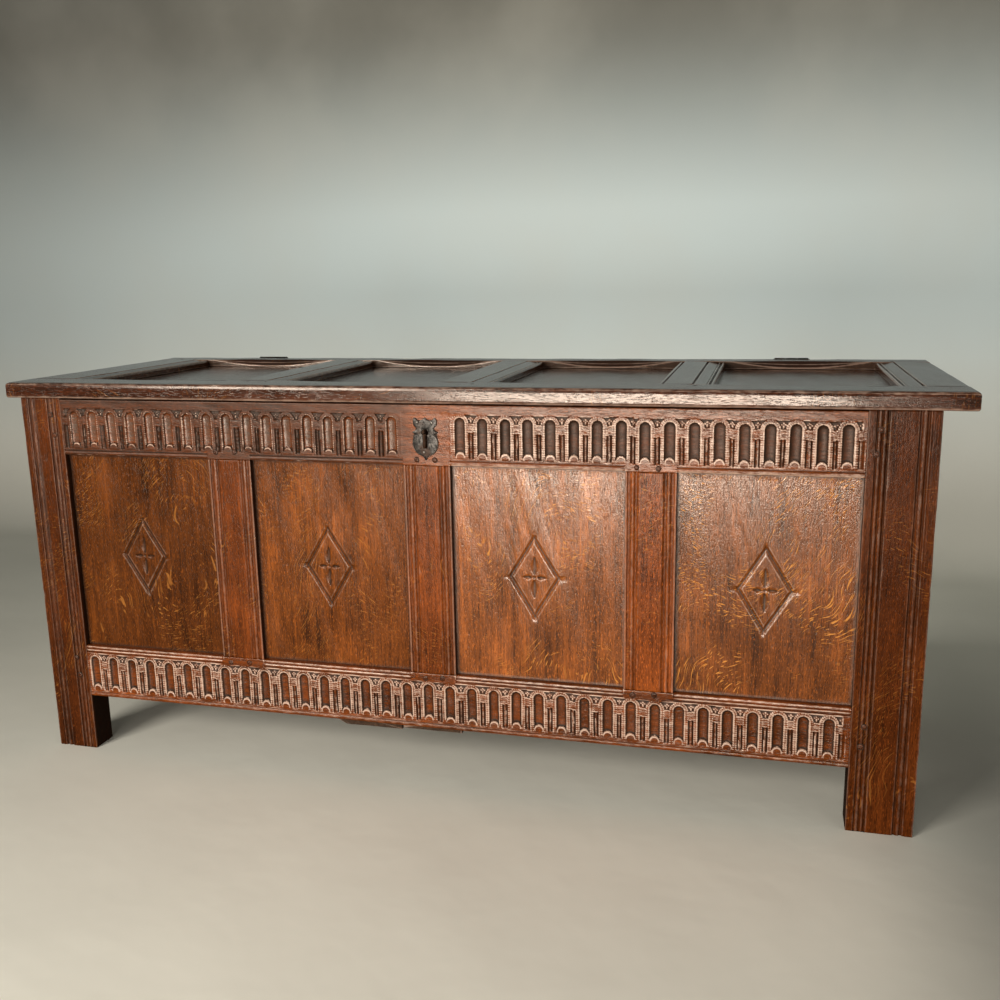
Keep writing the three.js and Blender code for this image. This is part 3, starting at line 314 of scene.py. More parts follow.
def dents(seed, along, ring, weight, count, deepest=1.0):
    """Small knocks: Gaussian hollows at random places, chosen where weight is high. Depth in millimetres."""
    if count == 0:
        return np.zeros((len(along), len(ring)))
    random = np.random.default_rng(seed + 77)
    chance = weight / weight.sum()
    place = random.choice(len(ring), count, p=chance)
    station = random.uniform(along[0], along[-1], count)
    depth = deepest * random.uniform(0.15, 1, count) ** 2
    length = random.uniform(1.5, 7, count)
    breadth = random.uniform(0.9, 2.2, count)
    lengthwise = np.exp(-((along[:, None] - station) / length) ** 2) * depth
    crosswise = np.exp(-((ring[:, None] - ring[place]) / breadth) ** 2)
    return lengthwise @ crosswise.T


def end_rows(span, gap, reach=2.0):
    """Stations along a stick, close together at its two ends, and how far each is drawn in to ease them."""
    close = np.array([0, 0.12, 0.4, 1.0, 1.7, 2.5, 3.4]) * reach
    middle = np.linspace(span[0] + 5 * reach, span[1] - 5 * reach, max(int((span[1] - span[0]) / gap), 2))
    rows = np.concatenate([span[0] + close, middle, span[1] - close[::-1]])
    from_end = np.minimum(rows - span[0], span[1] - rows)
    inset = reach * 0.45 * np.clip(1 - from_end / reach, 0, 1) ** 2
    return rows, inset


# Meshes


def enclosed(points, rings):
    """Signed volume under a fan of triangles from the first corner of each face."""
    first, rest = points[rings[:, 0]], points[rings[:, 1:]]
    return np.einsum("ij,ikj->", first, np.cross(rest[:, :-1], rest[:, 1:])) / 6


def tube_mesh(name, points, grain, patina, ringed=False):
    """Closed tubes. points has the shape (tubes, stations, around, 3). Each point is joined to the next one
    round its ring and to the same one of the next ring. Each end is one face, or, when ringed, the last
    ring is joined to the first."""
    tubes, stations, around = points.shape[:3]
    index = np.arange(tubes * stations * around).reshape(tubes, stations, around)
    beside = np.roll(index, -1, 2)
    after, after_beside = np.roll(index, -1, 1), np.roll(beside, -1, 1)
    keep = slice(None) if ringed else slice(0, -1)
    quads = np.stack([grid[:, keep] for grid in (index, beside, after_beside, after)], -1).reshape(-1, 4)
    ends = np.zeros((0, around), int) if ringed else np.concatenate([index[:, 0, ::-1], index[:, -1]])
    flat = points.reshape(-1, 3)
    volume = enclosed(flat, quads) + (0 if ringed else enclosed(flat, ends))
    if volume < 0:
        quads, ends = quads[:, ::-1], ends[:, ::-1]
    corners = np.concatenate([quads.ravel(), ends.ravel()]).astype(np.int32)
    starts = np.concatenate([np.arange(len(quads)) * 4, len(quads) * 4 + np.arange(len(ends)) * around])
    mesh = bpy.data.meshes.new(name)
    mesh.vertices.add(len(flat))
    mesh.vertices.foreach_set("co", flat.astype(np.float32).ravel())
    mesh.loops.add(len(corners))
    mesh.loops.foreach_set("vertex_index", corners)
    mesh.polygons.add(len(starts))
    mesh.polygons.foreach_set("loop_start", starts.astype(np.int32))
    mesh.update(calc_edges=True)
    for label, values in (("grain", grain), ("patina", patina)):
        spread_values = np.broadcast_to(values, points.shape).astype(np.float32)
        mesh.attributes.new(label, "FLOAT_VECTOR", "POINT").data.foreach_set("vector", spread_values.ravel())
    mesh.shade_smooth()
    mesh.set_sharp_from_angle(angle=math.radians(40))
    return mesh


def added(name, data):
    """A new object in the scene."""
    made = bpy.data.objects.new(name, data)
    bpy.context.scene.collection.objects.link(made)
    return made


def finish_piece(mesh, look, body, nodes=()):
    """Puts a mesh in the scene, on its body, in place of the CAD nodes that it stands for."""
    piece = added(mesh.name, mesh)
    mesh.materials.append(finish(look))
    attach(piece, body)
    if nodes:
        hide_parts(*nodes)
    return piece


def oak_skin(node, wall, run, places, patina, seed, look, body):
    """The closed skin of one wooden piece. places are along, across and w, with the grain along u or v;
    patina is wear, dirt and ray flecks, and its wear and dirt also carry painted highlight and shade."""
    along, across, w = places
    order = {"u": (along, across, w), "v": (across, along, w)}[run]
    points = np.stack(order, -1)[None]
    shift = np.random.default_rng(seed).uniform(-4, 4, 3)
    grain = np.stack(places, -1)[None] * MM + shift
    patina = np.stack(np.broadcast_arrays(*patina), -1)[None]
    mesh = tube_mesh(f"{node}_oak", wall.place(points), grain, patina)
    return finish_piece(mesh, look, body, (node,))


def oak_stick(node, wall, run, span, section, seed, look, body="chest", slot="frame_oak", ease=1.2,
              uneven=0.22, knocks=0, gap=12.0, rays=0.25, shape=None, marks=(1.5, 4.0, 9.0), shaded_edges=(),
              handling=None, hollows=1.6):
    """A planed stick: a closed section of (across, w) points carried along u or v, its corners eased,
    its faces rippled by ripple() and its arrises knocked by dents(). Old dirt lies in hollows, and painted
    shade on the sunk walls at shaded_edges; handling(along, across, w) gives more wear and dirt, and in
    places painted highlight and shade."""
    outline = anticlockwise(spread(eased(section, ease), marks=marks))
    out, stands = outward(outline), standing_out(outline)
    ring = np.concatenate([[0], np.cumsum(np.hypot(*np.diff(outline, axis=0).T))])
    rows, inset = end_rows(span, gap)
    near_face = outline[:, 1] > outline[:, 1].max() - 9
    weight = np.clip(stands, 0, None) ** 2 * near_face + 1e-9
    knocked = dents(seed, rows, ring, weight, knocks)
    offset = ripple(seed, rows[:, None], outline.sum(-1)[None], uneven) - inset[:, None] - knocked
    across, w = (outline[:, axis] + out[:, axis] * offset for axis in (0, 1))
    along = np.repeat(rows[:, None], len(outline), 1)
    if shape:
        along, across, w = shape(along, across, w)
    # Arris wear: pale rubbed wood, which also stands for the highlights on the arrises: painted highlight
    wear_and_highlight = np.clip(stands / 0.9, 0, 0.8) + np.clip(knocked, 0, 0.6)
    # Painted shade: the sunk walls along shaded_edges are darkened as if no light reached them
    painted_shade = sum(np.exp(-np.abs(outline[:, 0] - edge)) for edge in shaded_edges) * (outline[:, 1] < -3)
    grime_and_shade = np.clip(-stands / hollows, 0, 0.8 / hollows) + np.clip(1.3 * painted_shade, 0, 1)
    if handling:
        more = handling(along, across, w)
        wear_and_highlight, grime_and_shade = np.clip(wear_and_highlight + more[0], 0, 1), np.clip(grime_and_shade + more[1], -1, 1)
    return oak_skin(node, wall, run, (along, across, w), (wear_and_highlight, grime_and_shade, rays), seed, look, body)


def moulding(edge, direction, mould, face=0.0):
    """Points of a run moulding from its edge inwards, on a face at w = -face."""
    return np.stack([edge + direction * mould[:, 0], -face - mould[:, 1]], -1)


def groove(edge, inward, face_set):
    """The four points of a panel groove cut in an edge, from the face side to the back."""
    near, deep = -face_set, -face_set - GROOVE_WIDTH
    bottom = edge + inward * GROOVE_DEPTH
    return np.array([[edge, near], [bottom, near], [bottom, deep], [edge, deep]])


# Sections, as (across, w) points


def rail_section(low, high, groove_at, face_set, back, face=0.0, rebated=False):
    """A rail: face, a panel groove in its low or high edge, and back. The low back corner of a bottom rail
    is rebated for the boards."""
    low_side = groove(low, 1, face_set)[::-1] if groove_at == "low" else np.zeros((0, 2))
    high_side = groove(high, -1, face_set) if groove_at == "high" else np.zeros((0, 2))
    heel = [[low, back]]
    if rebated:
        step, deep = low + REBATE_HEIGHT, back + REBATE_DEPTH
        heel = [[step, back], [step, deep], [low, deep]]
    return np.vstack([[[low, -face], [high, -face]], high_side, [[high, back]], heel, low_side])


def muntin_section(low, high, face_set, back, face=0.0, moulds=()):
    """An upright between two panels: a groove in each edge, and a moulding or a small chamfer along each
    side of its face."""
    left = np.array([[low, -face - 3], [low + 3, -face]])
    right = np.array([[high - 3, -face], [high, -face - 3]])
    if moulds:
        left = moulding(low, 1, moulds[0], face)
        right = moulding(high, -1, moulds[1], face)[::-1]
    return np.vstack([left, right, groove(high, -1, face_set), [[high, back], [low, back]],
                      groove(low, 1, face_set)[::-1]])


# Carving


def smooth(value):
    """0 below 0, 1 above 1, and 3v^2 - 2v^3 between."""
    value = np.clip(value, 0, 1)
    return value * value * (3 - 2 * value)


class Arcade:
    """One run of round-headed flutes. Places are measured from each arch's foot and centre line:
    x across and y up. Depths are in millimetres, downwards from the face."""

    # Pitch of the tool's ticks, and the raised lunette at a flute's foot: its radius and height
    tick, lunette, lunette_up = 3.7, 7.6, 3.0
    # Beside the middle between two arches: half the reed, then where each V is deepest and half its width
    reed, slot_at, slot_half = 1.2, 3.0, 1.8
    # Zigzag cuts of the cap: their pitch, height and half width
    zigzag, zigzag_high, zigzag_half = 4.4, 1.5, 1.1
    # Lobes of the trefoil over the cap, as x and y from the cap's top, and their size
    lobes, lobe = ((0.0, 2.6), (0.0, 5.0), (0.0, 9.2), (2.9, 7.0), (-2.9, 7.0)), 1.3

    def __init__(self, run, foot, nearest_pitch, end, seed, sizes, wax, worn):
        self.height, self.radius = sizes.arch_height / MM, sizes.arch_radius / MM
        self.flute, self.depth_in = sizes.flute_radius / MM, sizes.flute_depth / MM
        self.slot, self.cap = sizes.slot_depth / MM, sizes.cap_height / MM
        self.spandrel = sizes.spandrel_depth / MM
        self.springing = self.height - self.radius
        gaps = round((run[1] - run[0] - 2 * self.radius) / nearest_pitch)
        self.centres = np.linspace(run[0] + self.radius, run[1] - self.radius, gaps + 1)
        self.pitch = self.centres[1] - self.centres[0]
        self.foot, self.end, self.wax, self.worn = foot, end, wax, worn
        random = np.random.default_rng(seed)
        count = gaps + 1
        self.shift = random.normal(0, 0.35, count)
        self.lift = random.normal(0, 0.5, count)
        self.lean = random.normal(0, 0.008, count)
        self.swell = 1 + random.normal(0, 0.018, count)
        self.force = 1 + random.normal(0, 0.1, count)
        self.phase = random.uniform(0, 6, count)

    def reaches(self, u, pitches):
        """Whether u lies within so many pitches of the run's first and last centre lines."""
        return (u > self.centres[0] - self.pitch * pitches) & (u < self.centres[-1] + self.pitch * pitches)

    def local(self, u, v):
        """The nearest arch's number, and x and y from its centre line and foot."""
        number = np.clip(np.rint((u - self.centres[0]) / self.pitch), 0, len(self.centres) - 1).astype(int)
        y = v - self.foot - self.lift[number]
        x = u - self.centres[number] - self.shift[number] - self.lean[number] * (y - self.height / 2)
        return number, x, y

    def ticks(self, number, along):
        """The tool's even marks along an arch's band, from -1 to 1."""
        return np.sin(2 * np.pi * along / self.tick + self.phase[number])

    def head(self, number, x, y):
        """Distance from the arch's middle line: |x| up to the springing, then from the head's centre."""
        rise = y - self.springing
        reach = np.hypot(x, np.maximum(rise, 0))
        along = np.where(rise < 0, y, self.springing + self.radius * np.arctan2(rise, np.abs(x)))
        uneven = 0.2 * self.ticks(number, along) * (1 + 0.4 * np.sin(along * 0.7))
        return rise, reach / self.swell[number] + uneven

    def around(self, x, y, rise):
        """How far along its band a place lies: up the side, then round the head."""
        return np.where(rise < 0, y, self.height + self.radius * np.arctan2(np.maximum(rise, 0), np.abs(x)))

    def snapped(self, u, v, step):
        """Grid points within half a step of a carved edge moved on to it, straight across the edge."""
        number, x, y = self.local(u, v)
        inside = (y > -2) & (y < self.height + 2) & (np.abs(u - self.centres[number]) < self.pitch / 2 + 1)
        rise, reach = self.head(number, x, y)
        across, up = x / np.maximum(reach, 0.1), np.where(rise > 0, rise / np.maximum(reach, 0.1), 0)
        moved_u, moved_v, free = u.copy(), v.copy(), inside.copy()
        for radius in (self.flute, self.radius):
            gap = reach - radius
            near = free & (np.abs(gap) < 0.52 * step) & (rise < radius)
            moved_u -= np.where(near, gap * across, 0)
            moved_v -= np.where(near, gap * up, 0)
            free &= ~near
        middle = np.abs(self.pitch / 2 - np.abs(x))
        for offset in (self.slot_at, self.reed, self.slot_at + self.slot_half):
            gap = middle - offset
            near = free & (np.abs(gap) < 0.45 * step) & (y < self.springing - self.cap)
            moved_u += np.where(near, gap * np.sign(x) * np.sign(self.pitch / 2 - np.abs(x)), 0)
            free &= ~near
        return moved_u, moved_v

    def flute_depth(self, number, x, y, reach):
        """A round gouge cut inside the arch, above a small raised lunette at its foot."""
        lunette = np.hypot(x, y - self.lunette_up) - self.lunette * self.swell[number]
        inside = np.minimum(self.flute - reach, np.minimum(lunette, y - self.lunette_up))
        hollow = np.sqrt(np.clip(1 - (reach / self.flute) ** 2, 0, 1))
        facets = 0.03 * np.sin(y * 1.1 + self.phase[number])
        return smooth(inside / 0.75) * (0.6 + (self.depth_in * self.force[number] - 0.6) * hollow + facets)

    def slot_depth(self, x, y):
        """Two V-cuts with a reed between them, below the cap."""
        middle = np.abs(self.pitch / 2 - np.abs(x))
        cut = self.slot * np.clip(1 - np.abs(middle - self.slot_at) / self.slot_half, 0, 1) ** 0.8
        reed = 0.5 + 0.3 * np.clip(middle / self.reed, 0, 1) ** 2 + 0.15 * np.sin(y * 1.9)
        ends = smooth(y / 1.2) * smooth((self.springing - self.cap - y) / 1.2)
        return ends * np.where(middle < self.reed, reed, cut)

    def leaf(self, x, y):
        """A small trefoil over the cap, 1 in the middle of its lobes and its stem."""
        middle, up = self.pitch / 2 - np.abs(x), y - self.springing
        lobes = (np.exp(-((middle - at) ** 2 + (up - high) ** 2) / self.lobe ** 2) for at, high in self.lobes)
        return np.clip(sum(lobes), 0, 1)

    def spandrel_depth(self, x, y, reach):
        """The sunk ground over the cap, with the trefoil left standing in it."""
        inside = np.minimum(np.minimum(reach - self.radius - 0.3, y - self.springing), self.height - 0.8 - y)
        return smooth(inside / 0.7) * self.spandrel * (1 - 0.8 * self.leaf(x, y))

    def cap_depth(self, x, y):
        """Two zigzag cuts across the cap: each a V about a triangle wave."""
        middle = self.pitch / 2 - np.abs(x)
        wave = self.zigzag_high * np.abs((x / self.zigzag) % 1 - 0.5) * 2
        lines = (self.springing - self.cap + 1.8, self.springing - 3.6)
        rows = [np.clip(1 - np.abs(y - at - wave) / self.zigzag_half, 0, 1) for at in lines]
        return 0.75 * sum(rows) * (np.abs(middle) < 4.6)

    def depth(self, u, v):
        """How deep the whole run is cut at each place."""
        number, x, y = self.local(u, v)
        rise, reach = self.head(number, x, y)
        within = (y > -1) & (y < self.height + 1) & (np.abs(x) < self.pitch / 2 + 5)
        closed_left = (number == 0) & (x < 0) & (self.end != "left")
        closed_right = (number == len(self.centres) - 1) & (x > 0) & (self.end != "right")
        crown = 0.3 * np.clip(np.abs(reach - (self.flute + self.radius) / 2) / 2.65, 0, 1) ** 3
        crown = crown + 0.16 - 0.16 * self.ticks(number, self.around(x, y, rise))
        band = within & (reach < self.radius)
        total = np.where(band & (reach < self.flute), self.flute_depth(number, x, y, reach), 0)
        total = np.where(band & (reach >= self.flute), crown, total)
        outside = within & ~closed_left & ~closed_right & (reach >= self.radius)
        total = np.where(outside & (rise < 0), self.slot_depth(x, y) + self.cap_depth(x, y), total)
        return np.where(outside & (rise >= 0) & self.reaches(u, 0.5), self.spandrel_depth(x, y, reach), total)

    def handling(self, u, v):
        """Wear and dirt. The bands are rubbed along their two edges, in ticks, and their pale rims, caps,
        leaves and lunettes are partly wear and partly painted highlight; the slots and spandrels hold dirt;
        the flutes are darker at their sides, and between those old wax darkens them where wax is above 0,
        and where it is below 0 they are painted with grey dust and sheen."""
        number, x, y = self.local(u, v)
        rise, reach = self.head(number, x, y)
        inside = (y > 0) & (y < self.height) & (np.abs(u - self.centres[number]) < self.pitch / 2 + 1)
        ticks = 0.55 + 0.45 * self.ticks(number, self.around(x, y, rise))
        rims = sum(np.exp(-((reach - at) / 0.55) ** 2) for at in (self.flute + 0.5, self.radius - 0.5))
        lunette = np.hypot(x, y - self.lunette_up)
        cap = (reach > self.radius) & (rise < 0) & (y > self.springing - self.cap)
        band, sunk = (reach > self.flute) & (reach < self.radius), (reach > self.radius) & ~cap
        leaf = (rise > 0) * self.leaf(x, y)
        # Pale rims, ticks, caps, leaves and lunettes: wear, and painted highlight
        wear_and_highlight = rims * ticks + 0.14 * band * ticks + 0.28 * cap + 0.8 * sunk * leaf
        wear_and_highlight = self.worn * (wear_and_highlight + 0.6 * np.exp(-((lunette - 7) / 0.9) ** 2) * (reach < self.flute))
        # Flutes darker at their sides; wax below 0 paints their middle with grey dust and sheen
        side = np.clip((reach / self.flute - 0.5) / 0.4, 0, 1) + np.exp(-((lunette - 9) / 1.2) ** 2)
        side = np.clip(side, 0, 1)
        hollow = (0.85 if self.wax > 0 else 0.3) * side + self.wax * (1 - side)
        flute = (reach < self.flute) & (lunette > self.lunette)
        dirt = (0.6 * sunk * (1 - leaf) + flute * hollow) * (self.depth(u, v) > 0.5)
        return inside * wear_and_highlight, inside * dirt


def edge_easing(distance, radius=1.1):
    """Quarter-round fall of a face towards its edge."""
    near = np.clip(radius - distance, 0, radius)
    return radius - np.sqrt(np.maximum(radius ** 2 - near ** 2, 0))


def relief(depth_of, u_span, v_span, reach=2.0, step=1.0, pad=12):
    """A table of how far the carved face stands out of itself blurred by a Gaussian of that reach."""
    u = np.arange(u_span[0] - pad, u_span[1] + pad, step)
    v = np.arange(v_span[0] - pad, v_span[1] + pad, step)
    heights = -depth_of(u[:, None] + 0 * v, v + 0 * u[:, None])
    waves = np.fft.fftfreq(len(u), step)[:, None] ** 2 + np.fft.rfftfreq(len(v), step) ** 2
    blurred = np.fft.irfft2(np.fft.rfft2(heights) * np.exp(-2 * (np.pi * reach) ** 2 * waves), heights.shape)
    return u, v, heights - blurred


def looked_up(table, at_u, at_v):
    """Bilinear reading of a table at given places."""
    u, v, values = table
    i = np.clip((at_u - u[0]) / (u[1] - u[0]), 0, len(u) - 1.001)
    j = np.clip((at_v - v[0]) / (v[1] - v[0]), 0, len(v) - 1.001)
    i0, j0 = i.astype(int), j.astype(int)
    a, b = i - i0, j - j0
    return ((1 - a) * (1 - b) * values[i0, j0] + a * (1 - b) * values[i0 + 1, j0]
            + (1 - a) * b * values[i0, j0 + 1] + a * b * values[i0 + 1, j0 + 1])


def carved_piece(node, columns, rows, depth_of, snap, back_of, handling, seed, look, rays, run,
                 face=0.0):
    """A front piece whose face is a grid of columns and rows sunk by depth_of(u, v), closed behind by the
    points of back_of(u), which has the shape (columns, points, 2) as (v, w). handling(u, v) gives more wear
    and dirt, and in places painted highlight and shade."""
    u, v = (array.copy() for array in np.broadcast_arrays(columns[:, None], rows[None]))
    if snap:
        moved_u, moved_v = snap(u, v)
        inner = (slice(1, -1), slice(1, -1))
        u[inner], v[inner] = moved_u[inner], moved_v[inner]
    stands = looked_up(relief(depth_of, columns[[0, -1]], rows[[0, -1]]), u, v)
    behind = back_of(columns)
    nothing = np.zeros(behind.shape[:2])
    grid_u = np.concatenate([u, nothing + columns[:, None]], 1)
    grid_v = np.concatenate([v, behind[..., 0]], 1)
    grid_w = np.concatenate([-face - depth_of(u, v), behind[..., 1]], 1)
    more = handling(u, v)
    wear_and_highlight = np.concatenate([np.clip(stands / 0.9 + more[0], 0, 1), nothing], 1)
    grime_and_shade = np.concatenate([np.clip(np.clip(-stands / 1.8, 0, 0.4) + more[1], -1, 1), nothing], 1)
    places = (grid_u, grid_v, grid_w) if run == "u" else (grid_v, grid_u, grid_w)
    return oak_skin(node, WALLS["front"], run, places, (wear_and_highlight, grime_and_shade, rays), seed, look, "chest")


def even_marks(low, high, step, extra=()):
    """Evenly spaced marks with two closer ones at each end, and further ones where a line must be sharp."""
    count = max(int(round((high - low - 2) / step)), 2)
    inner = np.linspace(low + 1, high - 1, count)
    marks = np.unique(np.concatenate([[low, low + 0.35, high - 0.35, high], inner, np.asarray(extra, float)]))
    return marks[np.concatenate([[True], np.diff(marks) > 0.15])]


# Materials


class Field:
    """An output socket of a material's nodes. Arithmetic on it adds Math nodes."""

    def __init__(self, paint, socket):
        self.paint, self.socket = paint, socket

    def math(self, operation, *values):
        """The output of one Math node."""
        node = self.paint.node("ShaderNodeMath", {"operation": operation}, dict(enumerate(values)))
        return Field(self.paint, node.outputs[0])

    def __add__(self, other):
        return self.math("ADD", self, other)

    def __sub__(self, other):
        return self.math("SUBTRACT", self, other)

    def __rsub__(self, other):
        return self.math("SUBTRACT", other, self)

    def __mul__(self, other):
        return self.math("MULTIPLY", self, other)

    __radd__ = __add__


class Paint:
    """The node tree of one material."""

    def __init__(self, name):
        self.material = bpy.data.materials.new(name)
        self.material.use_nodes = True
        self.tree = self.material.node_tree
        self.tree.nodes.clear()

    def node(self, kind, settings=None, inputs=None):
        """A node with its settings set first, and then its sockets fed with numbers, colours or Fields."""
        made = self.tree.nodes.new(kind)
        for label, value in (settings or {}).items():
            setattr(made, label, value)
        for label, value in (inputs or {}).items():
            if isinstance(value, Field):
                self.tree.links.new(value.socket, made.inputs[label])
            else:
                made.inputs[label].default_value = value
        return made

    def out(self, kind, settings=None, inputs=None, output=0):
        """One output of a new node."""
        return Field(self, self.node(kind, settings, inputs).outputs[output])

    def stored(self, label):
        """A vector stored on the mesh."""
        settings = {"attribute_type": "GEOMETRY", "attribute_name": label}
        return self.out("ShaderNodeAttribute", settings, output="Vector")

    def parts(self, vector):
        """The three parts of a vector."""
        node = self.node("ShaderNodeSeparateXYZ", inputs={0: vector})
        return [Field(self, socket) for socket in node.outputs]

    def joined(self, x, y, z):
        """A vector of three parts."""
        return self.out("ShaderNodeCombineXYZ", inputs={0: x, 1: y, 2: z})

    def noise(self, vector, stretch=None, detail=2.0, roughness=0.5, scale=1.0):
        """Noise, drawn out along the axes where stretch is small."""
        if stretch:
            settings = {"operation": "MULTIPLY"}
            vector = self.out("ShaderNodeVectorMath", settings, {0: vector, 1: stretch})
        inputs = {"Vector": vector, "Scale": scale, "Detail": detail, "Roughness": roughness}
        return self.out("ShaderNodeTexNoise", None, inputs)

    def between(self, value, low, high):
        """0 up to low, 1 from high, smooth between."""
        return self.out("ShaderNodeMapRange", {"interpolation_type": "SMOOTHSTEP"},
                        {"Value": value, "From Min": low, "From Max": high})

    def mixed(self, factor, first, second):
        """The first colour where factor is 0, the second where it is 1."""
        settings = {"data_type": "RGBA", "clamp_factor": True}
        return self.out("ShaderNodeMix", settings, {0: factor, 6: first, 7: second}, output=2)

    def bumped(self, height, distance, strength):
        """Normals tilted by the slope of a height."""
        inputs = {"Height": height, "Distance": distance, "Strength": strength}
        return self.out("ShaderNodeBump", None, inputs)

    def surface(self, colour, roughness, normal, metallic=0.0, clear=None, **fixed):
        """The finished material. Where clear is 1, it can be looked through."""
        inputs = {"Base Color": colour, "Roughness": roughness, "Metallic": metallic, "Normal": normal}
        inputs.update({label.replace("_", " "): value for label, value in fixed.items()})
        shader = self.out("ShaderNodeBsdfPrincipled", None, inputs)
        if clear is not None:
            through = self.out("ShaderNodeBsdfTransparent")
            shader = self.out("ShaderNodeMixShader", None, {0: clear, 1: shader, 2: through})
        self.node("ShaderNodeOutputMaterial", inputs={"Surface": shader})
        return self.material


def shade(colour, factor):
    """A colour with its three parts multiplied."""
    return (*(min(part * factor, 1.0) for part in colour[:3]), 1.0)


def oak_paint(name, colour, colours, gloss=0.25, contrast=1.0, rub=0.4, fleck=1.0, shine=0.4, bump=0.4):
    """Waxed oak: streaked grain with pores, pale ticks along the grain that are painted glints, ray flecks
    across it, dirt and painted shade in the hollows, grey dust and painted sheen where the stored dirt is
    below 0, and rubbed arrises, pale with wear and painted highlight. Its grain runs along the first part
    of the stored grain vector."""
    paint = Paint(name)
    grain = paint.stored("grain")
    wear_and_highlight, grime_and_shade, rays = paint.parts(paint.stored("patina"))
    along, across, through = paint.parts(grain)
    wander = paint.noise(grain, (1.3, 5.0, 5.0), detail=1.0) - 0.5
    bent = paint.joined(along, across + wander * 0.03, through + wander * 0.012)
    rings = paint.noise(bent, (1.8, 75.0, 75.0), detail=3.0, roughness=0.65)
    streaks = paint.noise(bent, (14.0, 330.0, 330.0), detail=3.0, roughness=0.7)
    dashes = paint.between(paint.noise(bent, (90.0, 760.0, 760.0), detail=1.5), 0.55, 0.66)
    # Ticks: short pale dashes along the grain, painted highlights that stand for glints of the pores
    ticks = paint.between(paint.noise(bent, (150.0, 800.0, 800.0), detail=1.0), 0.6, 0.7)
    clouds = paint.noise(grain, (7.0, 14.0, 14.0), detail=3.0, roughness=0.6)
    swirl = paint.noise(grain, (13.0, 13.0, 13.0), detail=1.0) - 0.5
    turned = paint.noise(grain, (4.0, 6.0, 4.0), detail=0.0) - 0.5
    first = along * 0.5 + across * 0.85 + swirl * 0.03 + turned * 0.2
    second = across * 0.5 - along * 0.85 + swirl * 0.05 - turned * 0.3
    ribbons = paint.noise(paint.joined(first * 85.0, second * 520.0, through * 60.0), detail=2.0)
    where = paint.between(paint.noise(grain, (11.0, 17.0, 11.0), detail=1.0), 0.44, 0.62)
    flecks = paint.between(ribbons, 0.58, 0.68) * where * rays * fleck
    dirt = paint.noise(grain, (70.0, 160.0, 160.0), detail=3.0, roughness=0.65)
    dust_and_sheen_share, soil_and_shade = paint.between(grime_and_shade * -1.0, 0.1, 1.0), paint.between(grime_and_shade, 0.0, 1.0)
    rubbed = paint.between(wear_and_highlight + dirt * 1.1 - 0.55, 0.25, 0.95)
    tone = (rings * 0.6 + streaks * 0.8 + clouds * 0.9 - 1.15) * contrast + 0.5
    base = paint.mixed(paint.between(tone, 0.2, 0.55), shade(colour, 0.25), shade(colour, 0.95))
    # The pale ticks are painted glints; the dust colour is partly painted sheen, grime partly painted shade
    # and the rubbed colour partly painted highlight
    for share, other in (
        (paint.between(tone, 0.5, 0.85), shade(colour, 2.1)),
        (dashes * 0.6, shade(colour, 0.2)),
        (ticks * 0.5, shade(colour, 3.2)),
        (flecks * 0.75, colours.fleck),
        (dust_and_sheen_share * (dirt * 0.8 + 0.2), colours.dust_and_sheen),
        (soil_and_shade * (dirt * 0.9 + 0.5), colours.grime_and_shade),
        (rubbed * rub, colours.rubbed),
    ):
        base = paint.mixed(share, base, tuple(other))
    peel = paint.noise(grain, (430.0, 520.0, 520.0), detail=1.0)
    rough = gloss + (1.0 - streaks) * 0.1 + clouds * 0.14 - 0.1 + soil_and_shade * 0.3 - rubbed * 0.04 - flecks * 0.07
    height = streaks * 0.6 - dashes * 0.5 + rings * 0.3 + dirt * 0.5 + peel * 0.5
    return paint.surface(base, rough, paint.bumped(height, 0.0009, bump), Specular_IOR_Level=shine,
                         Specular_Tint=(1, 0.82, 0.66, 1))


def iron_paint(name, colours, rubbed):
    """Forged iron: dark scale with brown rust in patches and, where its mesh stores its wear, brighter metal
    where a hand rubs it, which also stands for highlights on the rims and nail heads: painted highlight."""
    paint = Paint(name)
    place = paint.out("ShaderNodeTexCoord", output="Object")
    scale = paint.noise(place, detail=3.0, roughness=0.6, scale=160.0)
    patches = paint.between(paint.noise(place, detail=2.0, scale=38.0), 0.48, 0.66)
    pits = paint.between(paint.noise(place, detail=1.0, scale=520.0), 0.58, 0.72)
    base = paint.mixed(paint.between(scale, 0.3, 0.7), shade(colours.iron, 0.3), shade(colours.iron, 1.0))
    base = paint.mixed(patches * 0.5, base, (0.07, 0.03, 0.014, 1))
    if rubbed:
        wear_and_highlight, grime_and_shade, _ = paint.parts(paint.stored("patina"))
        bright = paint.between(wear_and_highlight + scale * 0.5 - 0.25, 0.3, 1.0) * 0.7
        base = paint.mixed(bright, base, shade(colours.iron, 4.0))
        base = paint.mixed(grime_and_shade * 0.7, base, tuple(colours.grime_and_shade))
    rough = scale * 0.3 + patches * 0.2 + 0.2
    return paint.surface(base, rough, paint.bumped(scale * 0.6 - pits * 0.7, 0.001, 0.6), 0.85)


